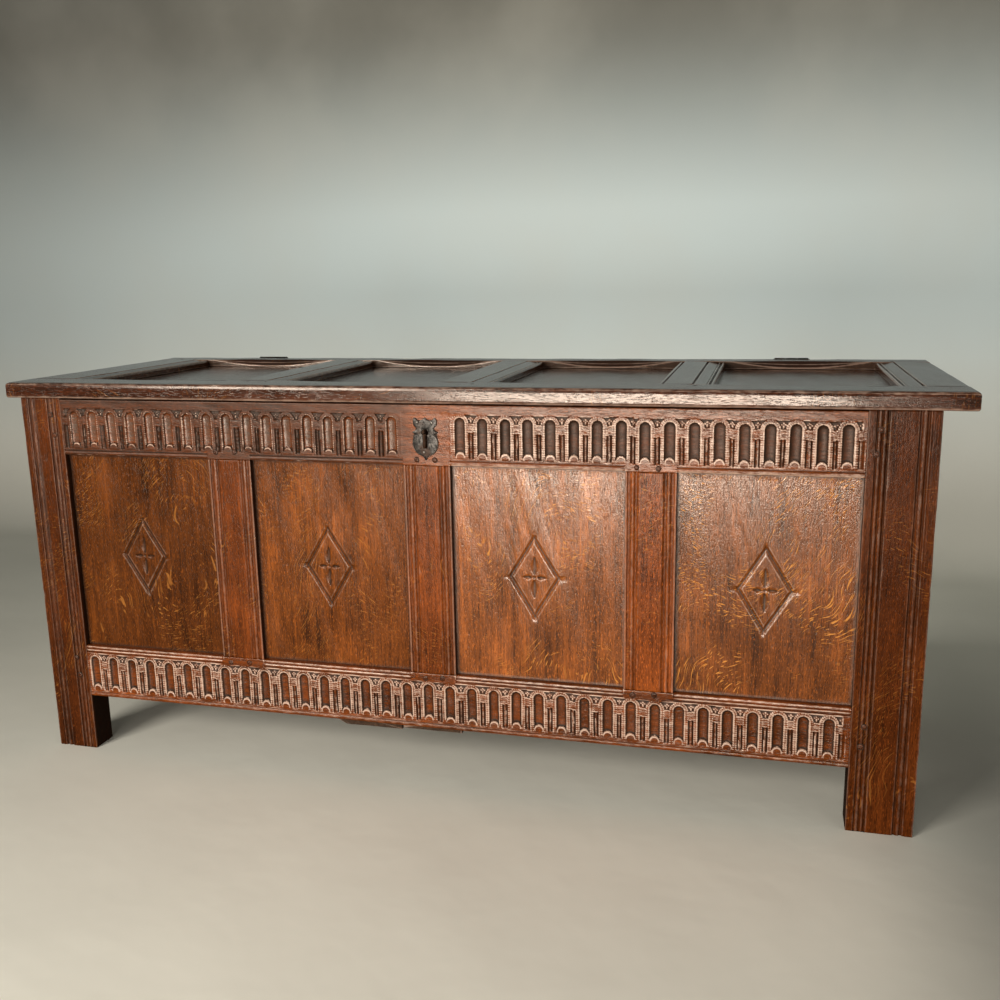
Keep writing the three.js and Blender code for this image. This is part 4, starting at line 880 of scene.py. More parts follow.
# Each oak finish: its colour, the share of that colour, and what else sets it apart. The left post,
# the front's muntins and its panels are lit and shaded copies: their shares, partly each board's own
# tone and partly painted light, run dark at the left and brightest at panel 3, where the sheen falls.
OAK_FINISHES = {
    "waxed frame oak": ("frame_oak", 0.9, {}),
    "waxed rail oak": ("frame_oak", 0.72, {"rub": 0.95, "shine": 0.4, "gloss": 0.22, "bump": 0.3}),
    "left post oak": ("frame_oak", 0.4, {"rub": 0.12, "contrast": 0.7, "shine": 0.2}),
    "right post oak": ("frame_oak", 0.41, {"rub": 0.12, "contrast": 0.8, "shine": 0.12}),
    "muntin oak 1": ("frame_oak", 0.65, {"rub": 0.2, "shine": 0.25}),
    "muntin oak 2": ("frame_oak", 0.82, {"rub": 0.2, "shine": 0.25}),
    "muntin oak 3": ("frame_oak", 1.22, {"rub": 0.2, "shine": 0.25}),
    "panel oak 1": ("panel_oak", 0.43, {"contrast": 0.85, "rub": 0.25, "shine": 0.22}),
    "panel oak 2": ("panel_oak", 0.68, {"contrast": 0.95, "rub": 0.25, "shine": 0.3}),
    "panel oak 3": ("panel_oak", 0.95, {"fleck": 1.2, "shine": 0.8, "gloss": 0.2}),
    "panel oak 4": ("panel_oak", 0.76, {"fleck": 1.4, "shine": 0.75, "gloss": 0.2}),
    "dark lid oak": ("lid_oak", 0.8, {"gloss": 0.15, "rub": 0.45, "shine": 0.62, "bump": 0.2}),
    "dry board oak": ("board_oak", 1.0, {"gloss": 0.6}),
    "peg oak": ("frame_oak", 0.35, {"rub": 0.6}),
}


def finish(look):
    """One of the coffer's materials, made the first time that it is asked for."""
    if look in bpy.data.materials:
        return bpy.data.materials[look]
    colours = bpy.context.scene.coffer_colours
    if look in OAK_FINISHES:
        wood, share, settings = OAK_FINISHES[look]
        return oak_paint(look, shade(getattr(colours, wood), share), colours, **settings)
    return iron_paint(look, colours, rubbed=look == "rubbed iron")


# Operators


def post_edges(low, high, at_left):
    """u of a post's inner and outer edge, and the direction from the first to the second."""
    inner, outer = (high, low) if at_left else (low, high)
    return inner, outer, np.sign(outer - inner)


class COFFER_OT_front_posts(bpy.types.Operator):
    """Makes the two moulded front posts"""

    bl_idname = "coffer.front_posts"
    bl_label = "Front posts"

    def execute(self, context):
        wall = WALLS["front"]
        for seed, (side, share) in enumerate((("left", LEFT_FLAT_SHARE), ("right", 1.0))):
            node = f"front_post_{side}"
            low, high = wall.span(node)
            inner, outer, away = post_edges(low[0], high[0], side == "left")
            first = moulding(inner + away * INNER_FLAT * share, away, INNER_MOULD)
            last = moulding(outer - away * OUTER_FLAT * share, -away, OUTER_MOULD)
            behind = [[outer, 0], [outer, low[2]], [inner, low[2]]]
            section = np.vstack([[[inner, 0]], first, last[::-1], behind])
            # The sunk wall along the post's inner edge gets painted shade
            oak_stick(node, wall, "v", (low[1], high[1]), section, 11 + seed, f"{side} post oak", ease=0.9,
                      knocks=70, gap=7.0, rays=0.35, shaded_edges=(inner,))
        return {"FINISHED"}


def front_opening():
    """u of the two posts' inner edges."""
    wall = WALLS["front"]
    return wall.across("front_post_left")[1], wall.across("front_post_right")[0]


def front_height():
    """v of the two rails' edges along the panels."""
    wall = WALLS["front"]
    return wall.upwards("front_bottom_rail")[1], wall.upwards("front_top_rail")[0]


def front_bays():
    """u of each front panel's two edges."""
    return WALLS["front"].bays(front_opening(), [f"front_muntin_{number}" for number in (1, 2, 3)])


class COFFER_OT_front_rails(bpy.types.Operator):
    """Makes the two front rails with their arcades and run mouldings"""

    bl_idname = "coffer.front_rails"
    bl_label = "Carved front rails"

    step = 1.3

    def execute(self, context):
        sizes = context.scene.coffer_carving
        left, right = front_opening()
        lock = left + LOCK_SHARE * (right - left)
        low, high = WALLS["front"].upwards("front_top_rail")
        foot = low + ARCH_FOOT
        # The right run is worn more than the left: wear, and painted highlight where the sheen falls. wax
        # below 0 paints the left run's flutes with grey dust and sheen.
        first = Arcade((left + POST_GAP, lock - LOCK_GAP), foot, TOP_PITCH, "left", 3, sizes, -0.95, 0.75)
        second = Arcade((lock + LOCK_GAP, right - POST_GAP), foot, TOP_PITCH, "right", 4, sizes, 0.55, 1.1)
        self.carve("front_top_rail", (low, high), (first, second), "low", TOP_RAIL_MOULD, 21, lock)
        low, high = WALLS["front"].upwards("front_bottom_rail")
        run = left + BOTTOM_LEFT_GAP, right - BOTTOM_RIGHT_GAP
        arcade = Arcade(run, low + ARCH_FOOT, BOTTOM_PITCH, "right", 5, sizes, 0.2, 1.35)
        self.carve("front_bottom_rail", (low, high), (arcade,), "high", BOTTOM_RAIL_MOULD, 22)
        return {"FINISHED"}

    def carve(self, node, rail, arcades, mould_at, mould, seed, lock=None):
        """One rail: arcades, the moulding along the panels, a keyhole or a lower bead, and an uneven face."""
        low, high = rail
        edge, inward = (low, 1) if mould_at == "low" else (high, -1)
        left, right = front_opening()
        bays = front_bays()

        def depth_of(u, v):
            run = np.interp((v - edge) * inward, *mould.T, right=0)
            beside = sum(smooth((u - start) / 0.8) * smooth((end - u) / 0.8) for start, end in bays)
            total = np.maximum(sum(arcade.depth(u, v) for arcade in arcades), run * beside)
            total = total + edge_easing(v - low) + edge_easing(high - v) - ripple(seed, u, v, 0.22, 140.0)
            if lock is None:
                return np.maximum(total, np.interp(v - low, *LOWER_MOULD.T, right=0))
            return total + self.tooled_ground(u - lock, v - (low + KEY_HEIGHT))

        def handling(u, v):
            wear_and_highlight, dirt = 0, 0
            for arcade in arcades:
                here, more = arcade.reaches(u, 1), arcade.handling(u, v)
                wear_and_highlight, dirt = wear_and_highlight + more[0] * here, dirt + more[1] * here
            if lock:
                fade, plate_up, plate_radius = 50, 46, 21
                # Painted shade: the left run is made less worn and darker, away from the sheen
                shaded_left_half = smooth((lock - u) / fade)
                # Painted shade: the wood behind the plate, seen through the keyhole, is made near black
                keyhole_shade = np.hypot(u - lock, v - low - plate_up) < plate_radius
                wear_and_highlight = wear_and_highlight - 0.42 * shaded_left_half
                dirt = dirt + 0.5 * (dirt >= 0) * shaded_left_half + 2 * keyhole_shade
            return wear_and_highlight, dirt

        def snap(u, v):
            for arcade in arcades:
                moved, here = arcade.snapped(u, v, self.step), arcade.reaches(u, 0.5)
                u, v = np.where(here, moved[0], u), np.where(here, moved[1], v)
            return u, v

        behind = rail_section(low, high, mould_at, FRONT_SET, -FRONT_THICKNESS, rebated=lock is None)[2:]
        rows = even_marks(low, high, self.step, edge + inward * mould[1:, 0])
        columns = even_marks(left + FIT, right - FIT, self.step)

        def back_of(u):
            return np.repeat(behind[None], len(u), 0)

        carved_piece(node, columns, rows, depth_of, snap, back_of, handling, seed,
                     "waxed rail oak", 0.12, "u")

    @staticmethod
    def tooled_ground(x, y):
        """The punched block behind the lock plate, and the keyhole through it, about the keyhole's head."""
        half_wide, half_high, drop, hole_depth = 42, 38, 5, 24
        tooled = np.sin(1.6 * x + 0.9 * np.sin(0.9 * y)) * np.sin(1.5 * y + 0.8 * np.sin(1.2 * x))
        block = smooth((half_wide - np.abs(x)) / 2) * smooth((half_high - np.abs(y + drop)) / 2)
        slit = np.minimum(SLIT_HALF - np.abs(x), np.minimum(y + SLIT_DROP, 2 - y))
        hole = np.maximum(KEY_RADIUS - np.hypot(x, y), slit)
        return 0.22 * (1 + tooled) * block + hole_depth * smooth((hole + 0.4) / 0.5)


class COFFER_OT_front_muntins(bpy.types.Operator):
    """Makes the three moulded front muntins"""

    bl_idname = "coffer.front_muntins"
    bl_label = "Front muntins"

    def execute(self, context):
        wall = WALLS["front"]
        bottom, top = front_height()
        for number in (1, 2, 3):
            node = f"front_muntin_{number}"
            edges = wall.across(node)
            section = muntin_section(*edges, FRONT_SET, -FRONT_THICKNESS, moulds=(MUNTIN_MOULD, MUNTIN_MOULD))
            # The sunk walls along both edges get painted shade
            oak_stick(node, wall, "v", (bottom + FIT, top - FIT), section, 30 + number,
                      f"muntin oak {number}", ease=0.8, knocks=24, gap=7.0, rays=0.5, shaded_edges=edges)
        return {"FINISHED"}


def from_edges(u, v, u_ends, v_ends):
    """Distance to the nearest edge of a rectangle."""
    return np.minimum(np.minimum(u - u_ends[0], u_ends[1] - u), np.minimum(v - v_ends[0], v_ends[1] - v))


def with_tongues(span):
    """A panel's two edges, a tongue's depth outside its opening."""
    return span[0] - TONGUE, span[1] + TONGUE


def thinned_back(distance, face_set, back):
    """w of a panel's back: flat in the groove's width of its edge, then a bevel down to full thickness."""
    in_groove = -face_set - GROOVE_WIDTH + FIT
    return np.interp(distance, [GROOVE_DEPTH, GROOVE_DEPTH + PANEL_BEVEL], [in_groove, back])


def plain_panel(node, wall, u_span, v_span, face_set, thickness, seed, look, body="chest", slot="frame_oak"):
    """A riven panel: flat face, edges thinned at the back into the grooves, the whole gently rippled."""
    u, v = (even_marks(*with_tongues(span), 14.0) for span in (u_span, v_span))
    grid_u, grid_v = np.broadcast_arrays(u[None], v[:, None])
    from_edge = from_edges(grid_u, grid_v, u[[0, -1]], v[[0, -1]])
    face = -face_set - FIT
    front = face + ripple(seed, grid_v, grid_u, 0.28) * smooth(from_edge / 12)
    backs = thinned_back(from_edge, face_set, face - thickness)
    across, along = (np.concatenate([grid, grid[:, ::-1]], 1) for grid in (grid_u, grid_v))
    w = np.concatenate([front, backs[:, ::-1]], 1)
    dirt = np.concatenate([smooth((TONGUE + 9 - from_edge) / 9), np.zeros_like(backs)], 1) * 0.5
    return oak_skin(node, wall, "v", (along, across, w), (0.0, dirt, 0.3), seed, look, body)


def flower(x, y):
    """Four pointed petals, each a shallow gouge cut between two arcs, about a small round eye."""
    start, eye, high, wide = 4.5, 3.0, 36.0, 20.0
    total = 1.8 * np.clip(1 - np.hypot(x, y) / eye, 0, 1)
    for along, across, length in ((y, x, high), (-y, x, high), (x, y, wide), (-x, y, wide)):
        share = np.clip((along - start) / (length - start), 0, 1)
        half = (1.6 + 0.15 * length) * np.sin(np.pi * share ** 0.8) + 1e-6
        total = np.maximum(total, 2.4 * np.clip(1 - np.abs(across) / half, 0, 1) * (share > 0) * (share < 1))
    return total


def lozenge(x, y, tips, overcut):
    """Distance to the nearest of the lozenge's four cuts, each run a little past its corners."""
    nearest = np.full(np.broadcast(x, y).shape, 99.0)
    for start, end, past in zip(tips, np.roll(tips, -1, 0), overcut):
        line = end - start
        length = np.hypot(*line)
        line = line / length
        t = (x - start[0]) * line[0] + (y - start[1]) * line[1]
        off = np.clip(t, -past[0], length + past[1]) - t
        side = (x - start[0]) * line[1] - (y - start[1]) * line[0]
        nearest = np.minimum(nearest, np.hypot(side, off))
    return nearest


def marks_about(ends, middle, half):
    """Marks from end to end, fine about a carved middle."""
    fine = np.arange(middle - half - 4, middle + half + 4, 1.15)
    coarse = even_marks(*ends, 6.0)
    return np.unique(np.concatenate([coarse[(coarse < fine[0] - 2) | (coarse > fine[-1] + 2)], fine]))


class COFFER_OT_front_panels(bpy.types.Operator):
    """Makes the four front panels with a lozenge and a small flower cut in each"""

    bl_idname = "coffer.front_panels"
    bl_label = "Lozenge panels"

    # For each panel, the share of its width at which the lozenge's middle lies, and how strong its flecks are
    panels = ((0.477, 0.5), (0.473, 0.45), (0.477, 0.95), (0.501, 1.5))

    def execute(self, context):
        bottom, top = front_height()
        for number, (span, (share, rays)) in enumerate(zip(front_bays(), self.panels)):
            centre = span[0] + share * (span[1] - span[0]), (bottom + top) / 2 - 3
            self.panel(number, span, (bottom, top), centre, context.scene.coffer_carving, rays)
        return {"FINISHED"}

    def panel(self, number, u_span, v_span, centre, sizes, rays):
        """One panel with its lozenge and flower cut about a centre, rippled, and thinned at its back."""
        half_u, half_v = sizes.lozenge_width / MM / 2, sizes.lozenge_height / MM / 2
        groove_half, seed = 4.5, 40 + number
        u_ends, v_ends = with_tongues(u_span), with_tongues(v_span)
        tips = np.array([[half_u, 0], [0, half_v], [-half_u, 0], [0, -half_v]])
        overcut = np.random.default_rng(seed).uniform(0, 2.2, (4, 2))

        def depth_of(u, v):
            x, y = u - centre[0], v - centre[1]
            cut = sizes.lozenge_depth / MM * np.clip(1 - lozenge(x, y, tips, overcut) / groove_half, 0, 1)
            wave = ripple(seed, v, u, 0.3, 210.0) + ripple(seed + 5, v, u, 0.1, 60.0)
            return cut + flower(x, y) - wave * smooth(from_edges(u, v, u_ends, v_ends) / 14)

        def handling(u, v):
            x, y = u - centre[0], v - centre[1]
            line = lozenge(x, y, tips, overcut)
            dirty = 0.55 * np.exp(-(line / 1.1) ** 2) + 0.35 * np.exp(-((line - 4.3) / 0.7) ** 2)
            dirty = dirty + 0.5 * np.clip(flower(x, y) / 2.2, 0, 1)
            near = 0.7 * smooth((TONGUE + 5 - from_edges(u, v, u_ends, v_ends)) / 5)
            return 0.35 * np.exp(-((line - 5.4) / 0.9) ** 2), dirty + near

        face = FRONT_SET + FIT
        low, high = v_ends
        heights = np.array([high, high - 9, high - 34, low + 34, low + 9, low])

        def back_of(u):
            up, across = np.broadcast_arrays(heights, u[:, None])
            w = thinned_back(from_edges(across, up, u_ends, v_ends), FRONT_SET, -face - PANEL_THICKNESS)
            return np.stack([up, w], -1)

        columns, rows = marks_about(u_ends, centre[0], half_u), marks_about(v_ends, centre[1], half_v)
        carved_piece(f"front_panel_{number + 1}", columns, rows, depth_of, None, back_of, handling, seed,
                     f"panel oak {number + 1}", rays, "v", face)


class COFFER_OT_plain_frames(bpy.types.Operator):
    """Makes the plain frames and panels of the back and the two ends"""

    bl_idname = "coffer.plain_frames"
    bl_label = "Back and ends"

    look = "waxed frame oak"

    def execute(self, context):
        wall = WALLS["back"]
        for seed, node in enumerate(("back_post_right", "back_post_left")):
            low, high = wall.span(node)
            inner, outer, away = post_edges(low[0], high[0], node == "back_post_right")
            section = [[inner, 0], [outer - away * 3, 0], [outer, -3], [outer, low[2]], [inner, low[2]]]
            oak_stick(node, wall, "v", (low[1], high[1]), section, 51 + seed, self.look, knocks=30)
        opening = wall.across("back_post_right")[1], wall.across("back_post_left")[0]
        self.frame("back", wall, opening, 0.0, ("back_muntin_1", "back_muntin_2"), 60)
        for side, seed in (("left", 70), ("right", 80)):
            wall = WALLS[side]
            near, far = sorted(wall.across(f"{row}_post_{side}") for row in ("front", "back"))
            self.frame(f"{side}_end", wall, (near[1], far[0]), END_SET_BACK, (f"{side}_end_muntin",), seed)
        return {"FINISHED"}

    def frame(self, prefix, wall, opening, face, muntins, seed):
        """Rails, muntins and panels between two posts."""
        low, high = wall.upwards(f"{prefix}_bottom_rail"), wall.upwards(f"{prefix}_top_rail")
        back, face_set = -face - PLAIN_THICKNESS, face + PLAIN_SET
        span = (opening[0] + FIT, opening[1] - FIT)
        top = rail_section(*high, "low", face_set, back, face)
        bottom = rail_section(*low, "high", face_set, back, face, rebated=prefix == "back")
        oak_stick(f"{prefix}_top_rail", wall, "u", span, top, seed, self.look)
        oak_stick(f"{prefix}_bottom_rail", wall, "u", span, bottom, seed + 1, self.look)
        for number, node in enumerate(sorted(muntins, key=wall.across)):
            section = muntin_section(*wall.across(node), face_set, back, face)
            oak_stick(node, wall, "v", (low[1] + FIT, high[0] - FIT), section, seed + 2 + number, self.look)
        panels = [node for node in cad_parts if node.startswith(f"{prefix}_panel")]
        panels.sort(key=wall.across)
        for number, (node, bay) in enumerate(zip(panels, wall.bays(opening, muntins))):
            plain_panel(node, wall, bay, (low[1], high[0]), face_set, PANEL_THICKNESS, seed + 5 + number,
                        self.look)


class COFFER_OT_bottom_boards(bpy.types.Operator):
    """Makes the bottom boards, the end ones notched round the posts"""

    bl_idname = "coffer.bottom_boards"
    bl_label = "Bottom boards"

    def execute(self, context):
        wall = WALLS["floor"]
        for number in range(1, 9):
            node = f"bottom_board_{number}"
            (left, start, under), (right, end, over) = wall.span(node)
            section = [[left, under], [right, under], [right, over], [left, over]]
            if number == 4:
                section[:1] = [[left, under + WANE / 2], [left + WANE, under]]
            shape = {1: self.notched("left"), 8: self.notched("right")}.get(number)
            oak_stick(node, wall, "v", (start, end), section, 90 + number, "dry board oak", slot="board_oak",
                      ease=1.5, uneven=0.4, gap=6.0, shape=shape, handling=self.darker_ends(start, end))
        return {"FINISHED"}

    @staticmethod
    def darker_ends(start, end):
        """Darker on the last 14 mm at both ends of a board."""
        return lambda along, across, w: (0, 0.75 * (np.minimum(along - start, end - along) < 14))

    @staticmethod
    def notched(side):
        """A shape function that keeps the board clear of the two posts at its end."""
        boxes = [WALLS["floor"].span(f"{row}_post_{side}") for row in ("front", "back")]

        def shape(along, across, w):
            for low, high in boxes:
                beside = (along > low[1] - 1) & (along < high[1] + 1)
                if side == "left":
                    kept = np.maximum(across, high[0] + FIT)
                else:
                    kept = np.minimum(across, low[0] - FIT)
                across = np.where(beside, kept, across)
            return along, across, w

        return shape


class COFFER_OT_lid(bpy.types.Operator):
    """Makes the framed lid: rounded rails with stopped chamfers, moulded uprights and sunk panels"""

    bl_idname = "coffer.lid"
    bl_label = "Lid"

    look = "dark lid oak", "lid", "lid_oak"

    def execute(self, context):
        wall = WALLS["lid"]
        uprights = [f"lid_muntin_{number}" for number in (1, 2, 3)]
        whole = wall.across("lid_front_rail")
        front, near = wall.upwards("lid_front_rail")
        far, rear = wall.upwards("lid_back_rail")
        ends = wall.across("lid_left_rail")[1], wall.across("lid_right_rail")[0]
        bays = wall.bays(ends, uprights)
        back = -LID_THICKNESS
        self.long_rail("lid_front_rail", whole, near, 1, bays, np.vstack([
            [[front, 0], [near, 0]], groove(near, -1, LID_SET), [[near, back], [front, back]],
        ]), 101, ease=np.array([7.5, 0.6] + [0.4] * 4 + [0.8, 5.0]), knocks=150, gap=5.0)
        self.long_rail("lid_back_rail", whole, far, -1, bays, np.vstack([
            [[far, 0], [rear, 0], [rear, back], [far, back]], groove(far, 1, LID_SET)[::-1],
        ]), 102, ease=0.8, knocks=20, gap=6.0)
        between = near + FIT, far - FIT
        for seed, (side, outer, inner) in enumerate(zip(("left", "right"), whole, ends)):
            inward = np.sign(inner - outer)
            run = moulding(inner, -inward, LID_MOULD)
            section = np.vstack([[[outer, 0]], run[::-1], groove(inner, -inward, LID_SET),
                                 [[inner, back], [outer, back]]])
            reach = np.array([7.5] + [0.8] * (len(section) - 2) + [5.0])
            # hollows=0.9 darkens the grooves of the lid's mouldings more: old dirt, and painted shade
            oak_stick(f"lid_{side}_rail", wall, "v", between, section, 103 + seed, *self.look, ease=reach,
                      knocks=20, hollows=0.9)
        for number, node in enumerate(uprights):
            moulds = (LID_NARROW_MOULD if number == 2 else LID_SMALL_MOULD, LID_MOULD)
            section = muntin_section(*wall.across(node), LID_SET, back, moulds=moulds)
            # hollows=0.9 darkens the grooves of the lid's mouldings more: old dirt, and painted shade
            oak_stick(node, wall, "v", between, section, 106 + number, *self.look, ease=0.8, knocks=12,
                      hollows=0.9)
        for number, bay in enumerate(bays):
            plain_panel(f"lid_panel_{number + 1}", wall, bay, (near, far), LID_SET, LID_PANEL_THICKNESS,
                        110 + number, *self.look)
        return {"FINISHED"}

    @staticmethod
    def chamfer(along, bays):
        """Leg of the planed inner arris: an arc's height over each panel, running out before its ends."""
        leg = np.zeros_like(along)
        for left, right in bays:
            half = (right - left) * 0.47
            radius = (half ** 2 + CHAMFER ** 2) / (2 * CHAMFER)
            x = np.clip(np.abs(along - (left + right) / 2), 0, half)
            leg = np.maximum(leg, (CHAMFER - radius + np.sqrt(radius ** 2 - x ** 2)) * math.sqrt(2))
        return leg

    def long_rail(self, node, whole, inner, facing, bays, section, seed, **settings):
        """A rail along the lid: its ends are rounded as quarter circles above and below, and its inner arris
        is planed at 45 degrees along each panel. The planed edge has a bright line on its lower arris, partly
        wear and partly painted highlight; the wall below it is painted with a grey sheen, and its face with
        painted shade."""

        def rounded(from_end, radius):
            """Fall of a quarter circle towards the rail's end."""
            return radius - np.sqrt(radius ** 2 - np.clip(radius - from_end, 0, radius) ** 2)

        def shape(along, across, w):
            leg = self.chamfer(along, bays)
            excess = np.clip((across - inner) * facing + w + leg, 0, None) * (leg > 0.3)
            excess = np.where(w > PLANED_TO, excess, 0)
            across, w = across - facing * excess / 2, w - excess / 2
            from_end = np.minimum(along - whole[0], whole[1] - along)
            lowest = rounded(from_end, BOTTOM_ROUND) - LID_THICKNESS
            return along, across, np.clip(w, lowest, -rounded(from_end, TOP_ROUND))

        def handling(along, across, w):
            leg, aside, lowest = self.chamfer(along, bays), np.abs(across - inner), PLANED_TO - 0.7
            beside = (aside < 14) & (w > lowest) & (w < -0.4) & (leg > 0.8)
            # Painted light: a highlight with wear on the lower arris (line), painted shade on the planed
            # face, and a grey sheen on the wall below (below)
            line = np.exp(-((w + leg) / 1.3) ** 2) * (aside < 2.5) * beside
            below = (aside < 0.9) & (w < -leg - 1) & (w > lowest)
            return 1.3 * line, 0.5 * beside * (w > -leg + 1) - 0.9 * below

        oak_stick(node, WALLS["lid"], "u", whole, section, seed, *self.look, uneven=0.3,
                  marks=tuple(np.arange(1.2, 18, 1.6)), shape=shape, handling=handling, **settings)


def small_domes(name, wall, places, radius, rise, sides, seed, look, body, sink=2.0, wear_and_highlight=0.5):
    """Peg ends and nail heads: rings on each place, whose radius is radius * shrink at the height rise * t,
    with a random turn, size and tilt."""
    random = np.random.default_rng(seed)
    places = np.asarray(places, float)
    count = len(places)
    t = np.array([0, 0, 0, 0.35, 0.7, 0.92, 1.0])[:, None]
    shrink = np.array([1.25, 1.25, 1.04, 0.96, 0.8, 0.5, 0.18])[:, None]
    height = rise * t + np.array([-sink, 0.06, 0.04, 0, 0, 0, 0])[:, None]
    turn = np.linspace(0, 2 * np.pi, sides, endpoint=False)[None] + random.uniform(0, 6, (count, 1))
    size = radius * random.uniform(0.9, 1.1, (count, 1)) * (1 + random.uniform(-0.07, 0.07, (count, sides)))
    tilt = random.normal(0, 0.05, (count, 2, 1, 1))
    x, y = (shrink * (size * round_about(turn))[:, None] for round_about in (np.cos, np.sin))
    z = height + x * tilt[:, 0] + y * tilt[:, 1]
    points = np.stack([x, y, z], -1) + places[:, None, None]
    grain = points[..., [2, 0, 1]] * MM * 3
    # Wear rises to each dome's top, pale partly with wear and partly as painted highlight; dirt lies at its
    # foot
    patina = np.stack(np.broadcast_arrays(t * wear_and_highlight, (1 - t) ** 2, 0 * x), -1)
    return finish_piece(tube_mesh(name, wall.place(points), grain, patina), look, body)


class COFFER_OT_pegs(bpy.types.Operator):
    """Makes the pegs that hold the tenons"""

    bl_idname = "coffer.pegs"
    bl_label = "Pegs"

    # Pegs of the plain frames: radius, and distance from a post's edge, a muntin's middle, a rail's edge and
    # a tenon's middle; then the distance of the lid's from a rail's edge and an upright's middle
    radius, from_post, from_middle, from_rail, tenon_half = 4.1, 16, 17, 13, 18
    lid_from_rail, lid_from_middle = 17, 18

    def execute(self, context):
        places = np.column_stack([FRONT_PEGS, np.full(len(FRONT_PEGS), -PEG_SUNK)])
        small_domes("front_pegs", WALLS["front"], places, 4.3, 1.0, 10, 7, "peg oak", "chest",
                    wear_and_highlight=0.15)
        for side, label, first, last, muntins, set_back in (
            ("back", "back", "back_post_right", "back_post_left", ("muntin_1", "muntin_2"), 0.0),
            ("left", "left_end", "back_post_left", "front_post_left", ("muntin",), END_SET_BACK),
            ("right", "right_end", "front_post_right", "back_post_right", ("muntin",), END_SET_BACK),
        ):
            wall = WALLS[side]
            rails = [wall.upwards(f"{label}_{name}") for name in ("bottom_rail", "top_rail")]
            heights = (rails[0][1] - self.from_rail, rails[1][0] + self.from_rail)
            tenons = wall.across(first)[1] - self.from_post, wall.across(last)[0] + self.from_post
            made = [[at + 3 * sign, sum(rail) / 2 + sign * self.tenon_half, -PEG_SUNK]
                    for at in tenons for rail in rails for sign in (-1, 1)]
            for muntin in muntins:
                middle = sum(wall.across(f"{label}_{muntin}")) / 2
                made += [[middle + self.from_middle * sign, v + sign, -set_back - PEG_SUNK]
                         for v in heights for sign in (-1, 1)]
            small_domes(f"{label}_pegs", wall, made, self.radius, 0.9, 9, 8, "peg oak", "chest")
        wall = WALLS["lid"]
        front = wall.upwards("lid_front_rail")[1] - self.lid_from_rail
        rear = wall.upwards("lid_back_rail")[0] + self.lid_from_rail
        uprights = ("lid_left_rail", "lid_right_rail", "lid_muntin_1", "lid_muntin_2", "lid_muntin_3")
        made = [[sum(wall.across(node)) / 2 + self.lid_from_middle * sign, v, -LID_PEG_SUNK]
                for node in uprights for v in (front, rear) for sign in (-1, 1)]
        small_domes("lid_pegs", wall, made, self.radius, 0.7, 9, 9, "dark lid oak", "lid")
        return {"FINISHED"}


class COFFER_OT_lock_plate(bpy.types.Operator):
    """Makes the eared lock plate with its keyhole and nails"""

    bl_idname = "coffer.lock_plate"
    bl_label = "Lock plate"

    # Half outline from the top notch down to the drop, as x and z from the keyhole's head
    outline = np.array([
        [0, 24.5], [4, 21.2], [8.5, 19.6], [12.6, 20.7], [16.8, 24.8], [19.6, 21.5], [20.3, 17.6],
        [19.6, 12.5], [17.2, 9.2], [14.6, 7.3], [15.6, 4.4], [18.2, 2.6], [22.2, 0.8], [20.6, -1.2],
        [16.2, -3.0], [18.6, -6.4], [21.6, -13], [21.9, -18.5], [19.6, -26.5], [16.5, -32.2],
        [11.2, -36.4], [6.4, -38.2], [3.4, -40.6], [1.6, -44.6], [0, -46.2],
    ])
    # Rings from the keyhole's edge out to the plate's: share of the way, height, wear and dirt. The bright
    # rims are partly wear and partly painted highlight, and the dark at the keyhole's edge is partly dirt and
    # partly painted shade.
    rings = np.array([
        [0, 0.1, 0, 1], [0, 1.3, 0.8, 0.1], [0.03, 1.9, 0.9, 0], [0.08, 2.2, 0.3, 0], [0.3, 2.45, 0.1, 0],
        [0.6, 2.4, 0.1, 0], [0.9, 2.15, 0.3, 0], [0.97, 1.8, 0.9, 0], [1, 1.2, 0.8, 0.2], [1, 0.1, 0, 1],
    ])
    nails = np.array([[-12.4, 17.2, 2.2], [12.4, 16.1, 2.2], [-2.0, -32.0, 2.2]])

    def execute(self, context):
        wall = WALLS["front"]
        middle = sum(wall.across("lock_plate")) / 2
        head = wall.upwards("front_top_rail")[0] + KEY_HEIGHT
        around = np.vstack([self.outline, (self.outline * [-1, 1])[-2:0:-1]])
        angle = np.mod(np.arctan2(around[:, 1], around[:, 0]) - np.pi / 2, 2 * np.pi)
        order = np.argsort(angle)
        from_top = np.linspace(0, 2 * np.pi, 241)[:-1]
        outer = np.interp(from_top, angle[order], np.hypot(*around.T)[order], period=2 * np.pi)
        turn = from_top + np.pi / 2
        hole = self.keyhole(turn)
        share, height, wear_and_highlight, grime_and_shade = self.rings.T[:, :, None]
        r = hole + (outer - hole) * share
        x, z = r * np.cos(turn), r * np.sin(turn)
        bulge = 0.5 * np.exp(-((x / 15) ** 2 + ((z + 15) / 18) ** 2)) + ripple(5, x, z, 0.1, 25.0)
        points = np.stack([x + middle, z + head, height + bulge * (height > 1)], -1)[None]
        patina = np.stack(np.broadcast_arrays(wear_and_highlight, grime_and_shade, 0 * x), -1)[None]
        mesh = tube_mesh("lock_plate_iron", wall.place(points), points * MM, patina, ringed=True)
        finish_piece(mesh, "rubbed iron", "chest", ("lock_plate",))
        small_domes("lock_plate_nails", wall, self.nails + [middle, head, 0], 2.6, 1.5, 10, 3, "rubbed iron",
                    "chest", sink=1.2, wear_and_highlight=1.6)
        return {"FINISHED"}

    @staticmethod
    def keyhole(turn):
        """Distance to the keyhole's edge from its round head's centre: the circle, or the slit below it."""
        down = -np.sin(turn)
        side = np.maximum(np.abs(np.cos(turn)), 1e-4)
        slit = np.minimum(SLIT_HALF / side, SLIT_DROP / np.maximum(down, 1e-4))
        return np.where(down > 0, np.maximum(KEY_RADIUS, slit), KEY_RADIUS)


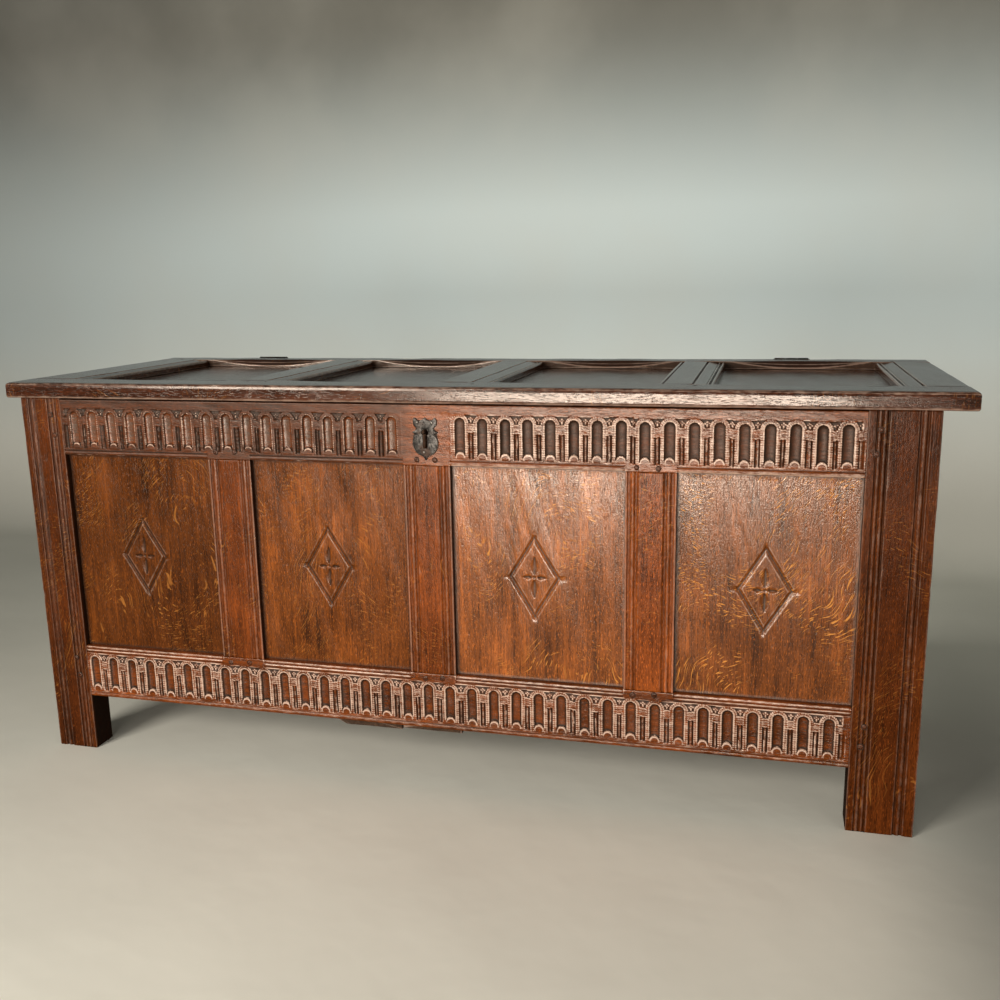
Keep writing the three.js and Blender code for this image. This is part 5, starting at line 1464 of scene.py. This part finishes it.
class COFFER_OT_iron(bpy.types.Operator):
    """Finishes the forged iron of the hinges and the lock, and nails it on"""

    bl_idname = "coffer.iron"
    bl_label = "Hinges and lock"

    # Nails of a strap, as x from its middle and height over the floor, and how proud the strap's face is
    nails, strap_face = ((-22, 672), (22, 672), (-14, 628), (14, 628), (0, 585)), 2.8

    def execute(self, context):
        for node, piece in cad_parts.items():
            if node.startswith("hinge") or node in ("lock_case", "lock_bolt", "lid_hasp"):
                piece.data.materials.clear()
                piece.data.materials.append(finish("forged iron"))
        wall = WALLS["back"]
        for side in ("left", "right"):
            middle = sum(wall.across(f"hinge_{side}_strap")) / 2
            places = [[middle + x, v, self.strap_face] for x, v in self.nails]
            small_domes(f"hinge_{side}_strap_nails", wall, places, 4.2, 1.7, 8, 12, "forged iron", "chest")
        return {"FINISHED"}


def lamp(name, place, target, size, power):
    """An area lamp, so wide and so high, at a place, turned to its target."""
    data = bpy.data.lights.new(name, "AREA")
    data.shape, data.energy = "RECTANGLE", power
    data.size, data.size_y = size
    made = added(name, data)
    made.location = place
    made.visible_camera = False
    direction = np.array(target, float) - np.array(place, float)
    made.rotation_euler = Vector(direction).to_track_quat("-Z", "Y").to_euler()


class COFFER_OT_stage(bpy.types.Operator):
    """Makes the paper floor and backdrop, the lamps and the camera"""

    bl_idname = "coffer.stage"
    bl_label = "Stage"

    # Each lamp's place, target, and width and height, in metres
    lamps = {
        "key": ((-1.7, -3.2, 1.6), (0.1, -0.2, 0.4), (1.3, 1.3)),
        "fill": ((2.8, -2.2, 1.6), (0.2, 0, 0.4), (2.6, 2.6)),
        "front": ((-0.05, -3.4, 0.3), (0.2, -0.27, 0.5), (1.8, 0.45)),
        "background": ((0.05, 0.42, 0.22), (-0.1, 1.65, 0.8), (1.3, 0.2)),
    }
    # The backdrop's bend and where it starts, how far it reaches to the front, the sides and up, in metres
    bend, bend_at, near_edge, half_width, top = 0.5, 1.15, -7, 8, 6
    # The photograph's viewpoint: its place and its directions to the right, up and back
    place = (0.514494, -1.837669, 0.871019)
    directions = (
        (0.967993, 0.250341, -0.017869), (-0.036678, 0.211539, 0.976681), (0.248283, -0.944765, 0.213950),
    )

    def execute(self, context):
        settings = context.scene.coffer_stage
        self.backdrop(settings)
        for name, (place, target, size) in self.lamps.items():
            lamp(name, place, target, size, getattr(settings, f"{name}_power"))
        world = bpy.data.worlds.new("studio air")
        world.use_nodes = True
        air = world.node_tree.nodes["Background"].inputs
        air["Color"].default_value = (0.82, 0.86, 0.88, 1)
        air["Strength"].default_value = 0.14
        context.scene.world = world
        self.camera(settings)
        context.scene.view_settings.view_transform = "Standard"
        return {"FINISHED"}

    def backdrop(self, settings):
        """A sheet of paper: flat floor, then a quarter circle up into a wall behind the chest. It is clear
        from behind, so that the chest's back can be looked at too."""
        bend, start = self.bend, self.bend_at
        turn = np.linspace(0, np.pi / 2, 14)[1:]
        floor, rise = np.linspace(self.near_edge, start, 30), np.linspace(bend + 0.3, self.top, 8)
        y = np.concatenate([floor, start + bend * np.sin(turn), 0 * rise + start + bend])
        z = np.concatenate([0 * floor, bend * (1 - np.cos(turn)), rise])
        x = np.linspace(-self.half_width, self.half_width, 40)
        points = np.stack(np.broadcast_arrays(x[:, None], y[None], z[None]), -1).reshape(-1, 3)
        index = np.arange(len(points)).reshape(len(x), len(y))
        quads = np.stack([index[:-1, :-1], index[1:, :-1], index[1:, 1:], index[:-1, 1:]], -1).reshape(-1, 4)
        mesh = bpy.data.meshes.new("paper_backdrop")
        mesh.from_pydata(points.tolist(), [], quads.tolist())
        mesh.shade_smooth()
        mesh.materials.append(self.paper(settings))
        sheet = added("paper_backdrop", mesh)

    @staticmethod
    def paper(settings):
        """Grey paper: warm on the floor, cool on the wall, darker above and in the shade at the sides."""
        floor, wall = settings.floor_colour, settings.wall_colour
        paint = Paint("grey paper")
        place = paint.out("ShaderNodeTexCoord", output="Object")
        x, y, height = paint.parts(place)
        upper = paint.mixed(paint.between(height, 0.9, 1.75), tuple(wall), tuple(settings.high_colour))
        colour = paint.mixed(paint.between(height, 0.05, 0.8), tuple(floor), upper)
        mottle = paint.between(paint.noise(place, detail=4.0, scale=1.7), 0.3, 0.75)
        colour = paint.mixed(mottle * 0.25, colour, shade(floor, 0.7))
        # Painted shade: the floor and wall darker at the left; painted shadow: the floor darker right of the
        # chest, towards the front
        low = paint.between(height * -1.0, -0.3, 0.0)
        right = paint.between(x, 0.6, 0.95) * paint.between(y * -1.0, -1.4, 0.2) * 0.65
        left, high = paint.between(x * -1.0, 0.2, 1.7) * 0.5, paint.between(x * -1.0, 0.4, 2.6) * 0.4
        colour = paint.mixed(low * (right + left) + (1 - low) * high, colour, shade(floor, 0.1))
        unseen = paint.mixed(paint.between(height, 0.1, 0.7), shade(floor, 0.18), shade(wall, 0.62))
        seen = paint.out("ShaderNodeLightPath", output="Is Camera Ray")
        crease = paint.noise(place, detail=4.0, scale=3.5, roughness=0.45)
        behind = paint.out("ShaderNodeNewGeometry", output="Backfacing")
        colour = paint.mixed(seen, unseen, colour)
        return paint.surface(colour, 0.85, paint.bumped(crease, 0.012, 0.35), clear=behind)

    def camera(self, settings):
        """The photograph's viewpoint."""
        data = bpy.data.cameras.new("viewpoint")
        data.lens, data.sensor_width = settings.lens, 36
        data.clip_start, data.clip_end = 0.05, 60
        made = added("viewpoint", data)
        turn = Matrix(self.directions).transposed().to_4x4()
        made.matrix_world = Matrix.Translation(self.place) @ turn
        bpy.context.scene.camera = made


OPERATORS = (
    COFFER_OT_stage, COFFER_OT_front_posts, COFFER_OT_front_rails, COFFER_OT_front_muntins,
    COFFER_OT_front_panels, COFFER_OT_plain_frames, COFFER_OT_bottom_boards, COFFER_OT_lid, COFFER_OT_pegs,
    COFFER_OT_lock_plate, COFFER_OT_iron,
)


class COFFER_PT_tools(bpy.types.Panel):
    """Lists the coffer's pieces"""

    bl_idname = "COFFER_PT_tools"
    bl_label = "Oak coffer"
    bl_space_type = "VIEW_3D"
    bl_region_type = "UI"
    bl_category = "Coffer"

    def draw(self, context):
        for operator in OPERATORS:
            self.layout.operator(operator.bl_idname)
        for group in GROUPS:
            settings = getattr(context.scene, group)
            box = self.layout.box()
            for label in settings.__annotations__:
                box.prop(settings, label)


CLASSES = (CarvingSizes, FinishColours, StageSettings, *OPERATORS, COFFER_PT_tools)
GROUPS = {"coffer_carving": CarvingSizes, "coffer_colours": FinishColours, "coffer_stage": StageSettings}


def register():
    for made in CLASSES:
        bpy.utils.register_class(made)
    for label, group in GROUPS.items():
        setattr(bpy.types.Scene, label, PointerProperty(type=group))


def unregister():
    for label in GROUPS:
        delattr(bpy.types.Scene, label)
    for made in reversed(CLASSES):
        bpy.utils.unregister_class(made)


def main():
    """Makes every piece in turn."""
    register()
    for operator in OPERATORS:
        group, label = operator.bl_idname.split(".")
        getattr(getattr(bpy.ops, group), label)()


if __name__ == "__main__":
    main()
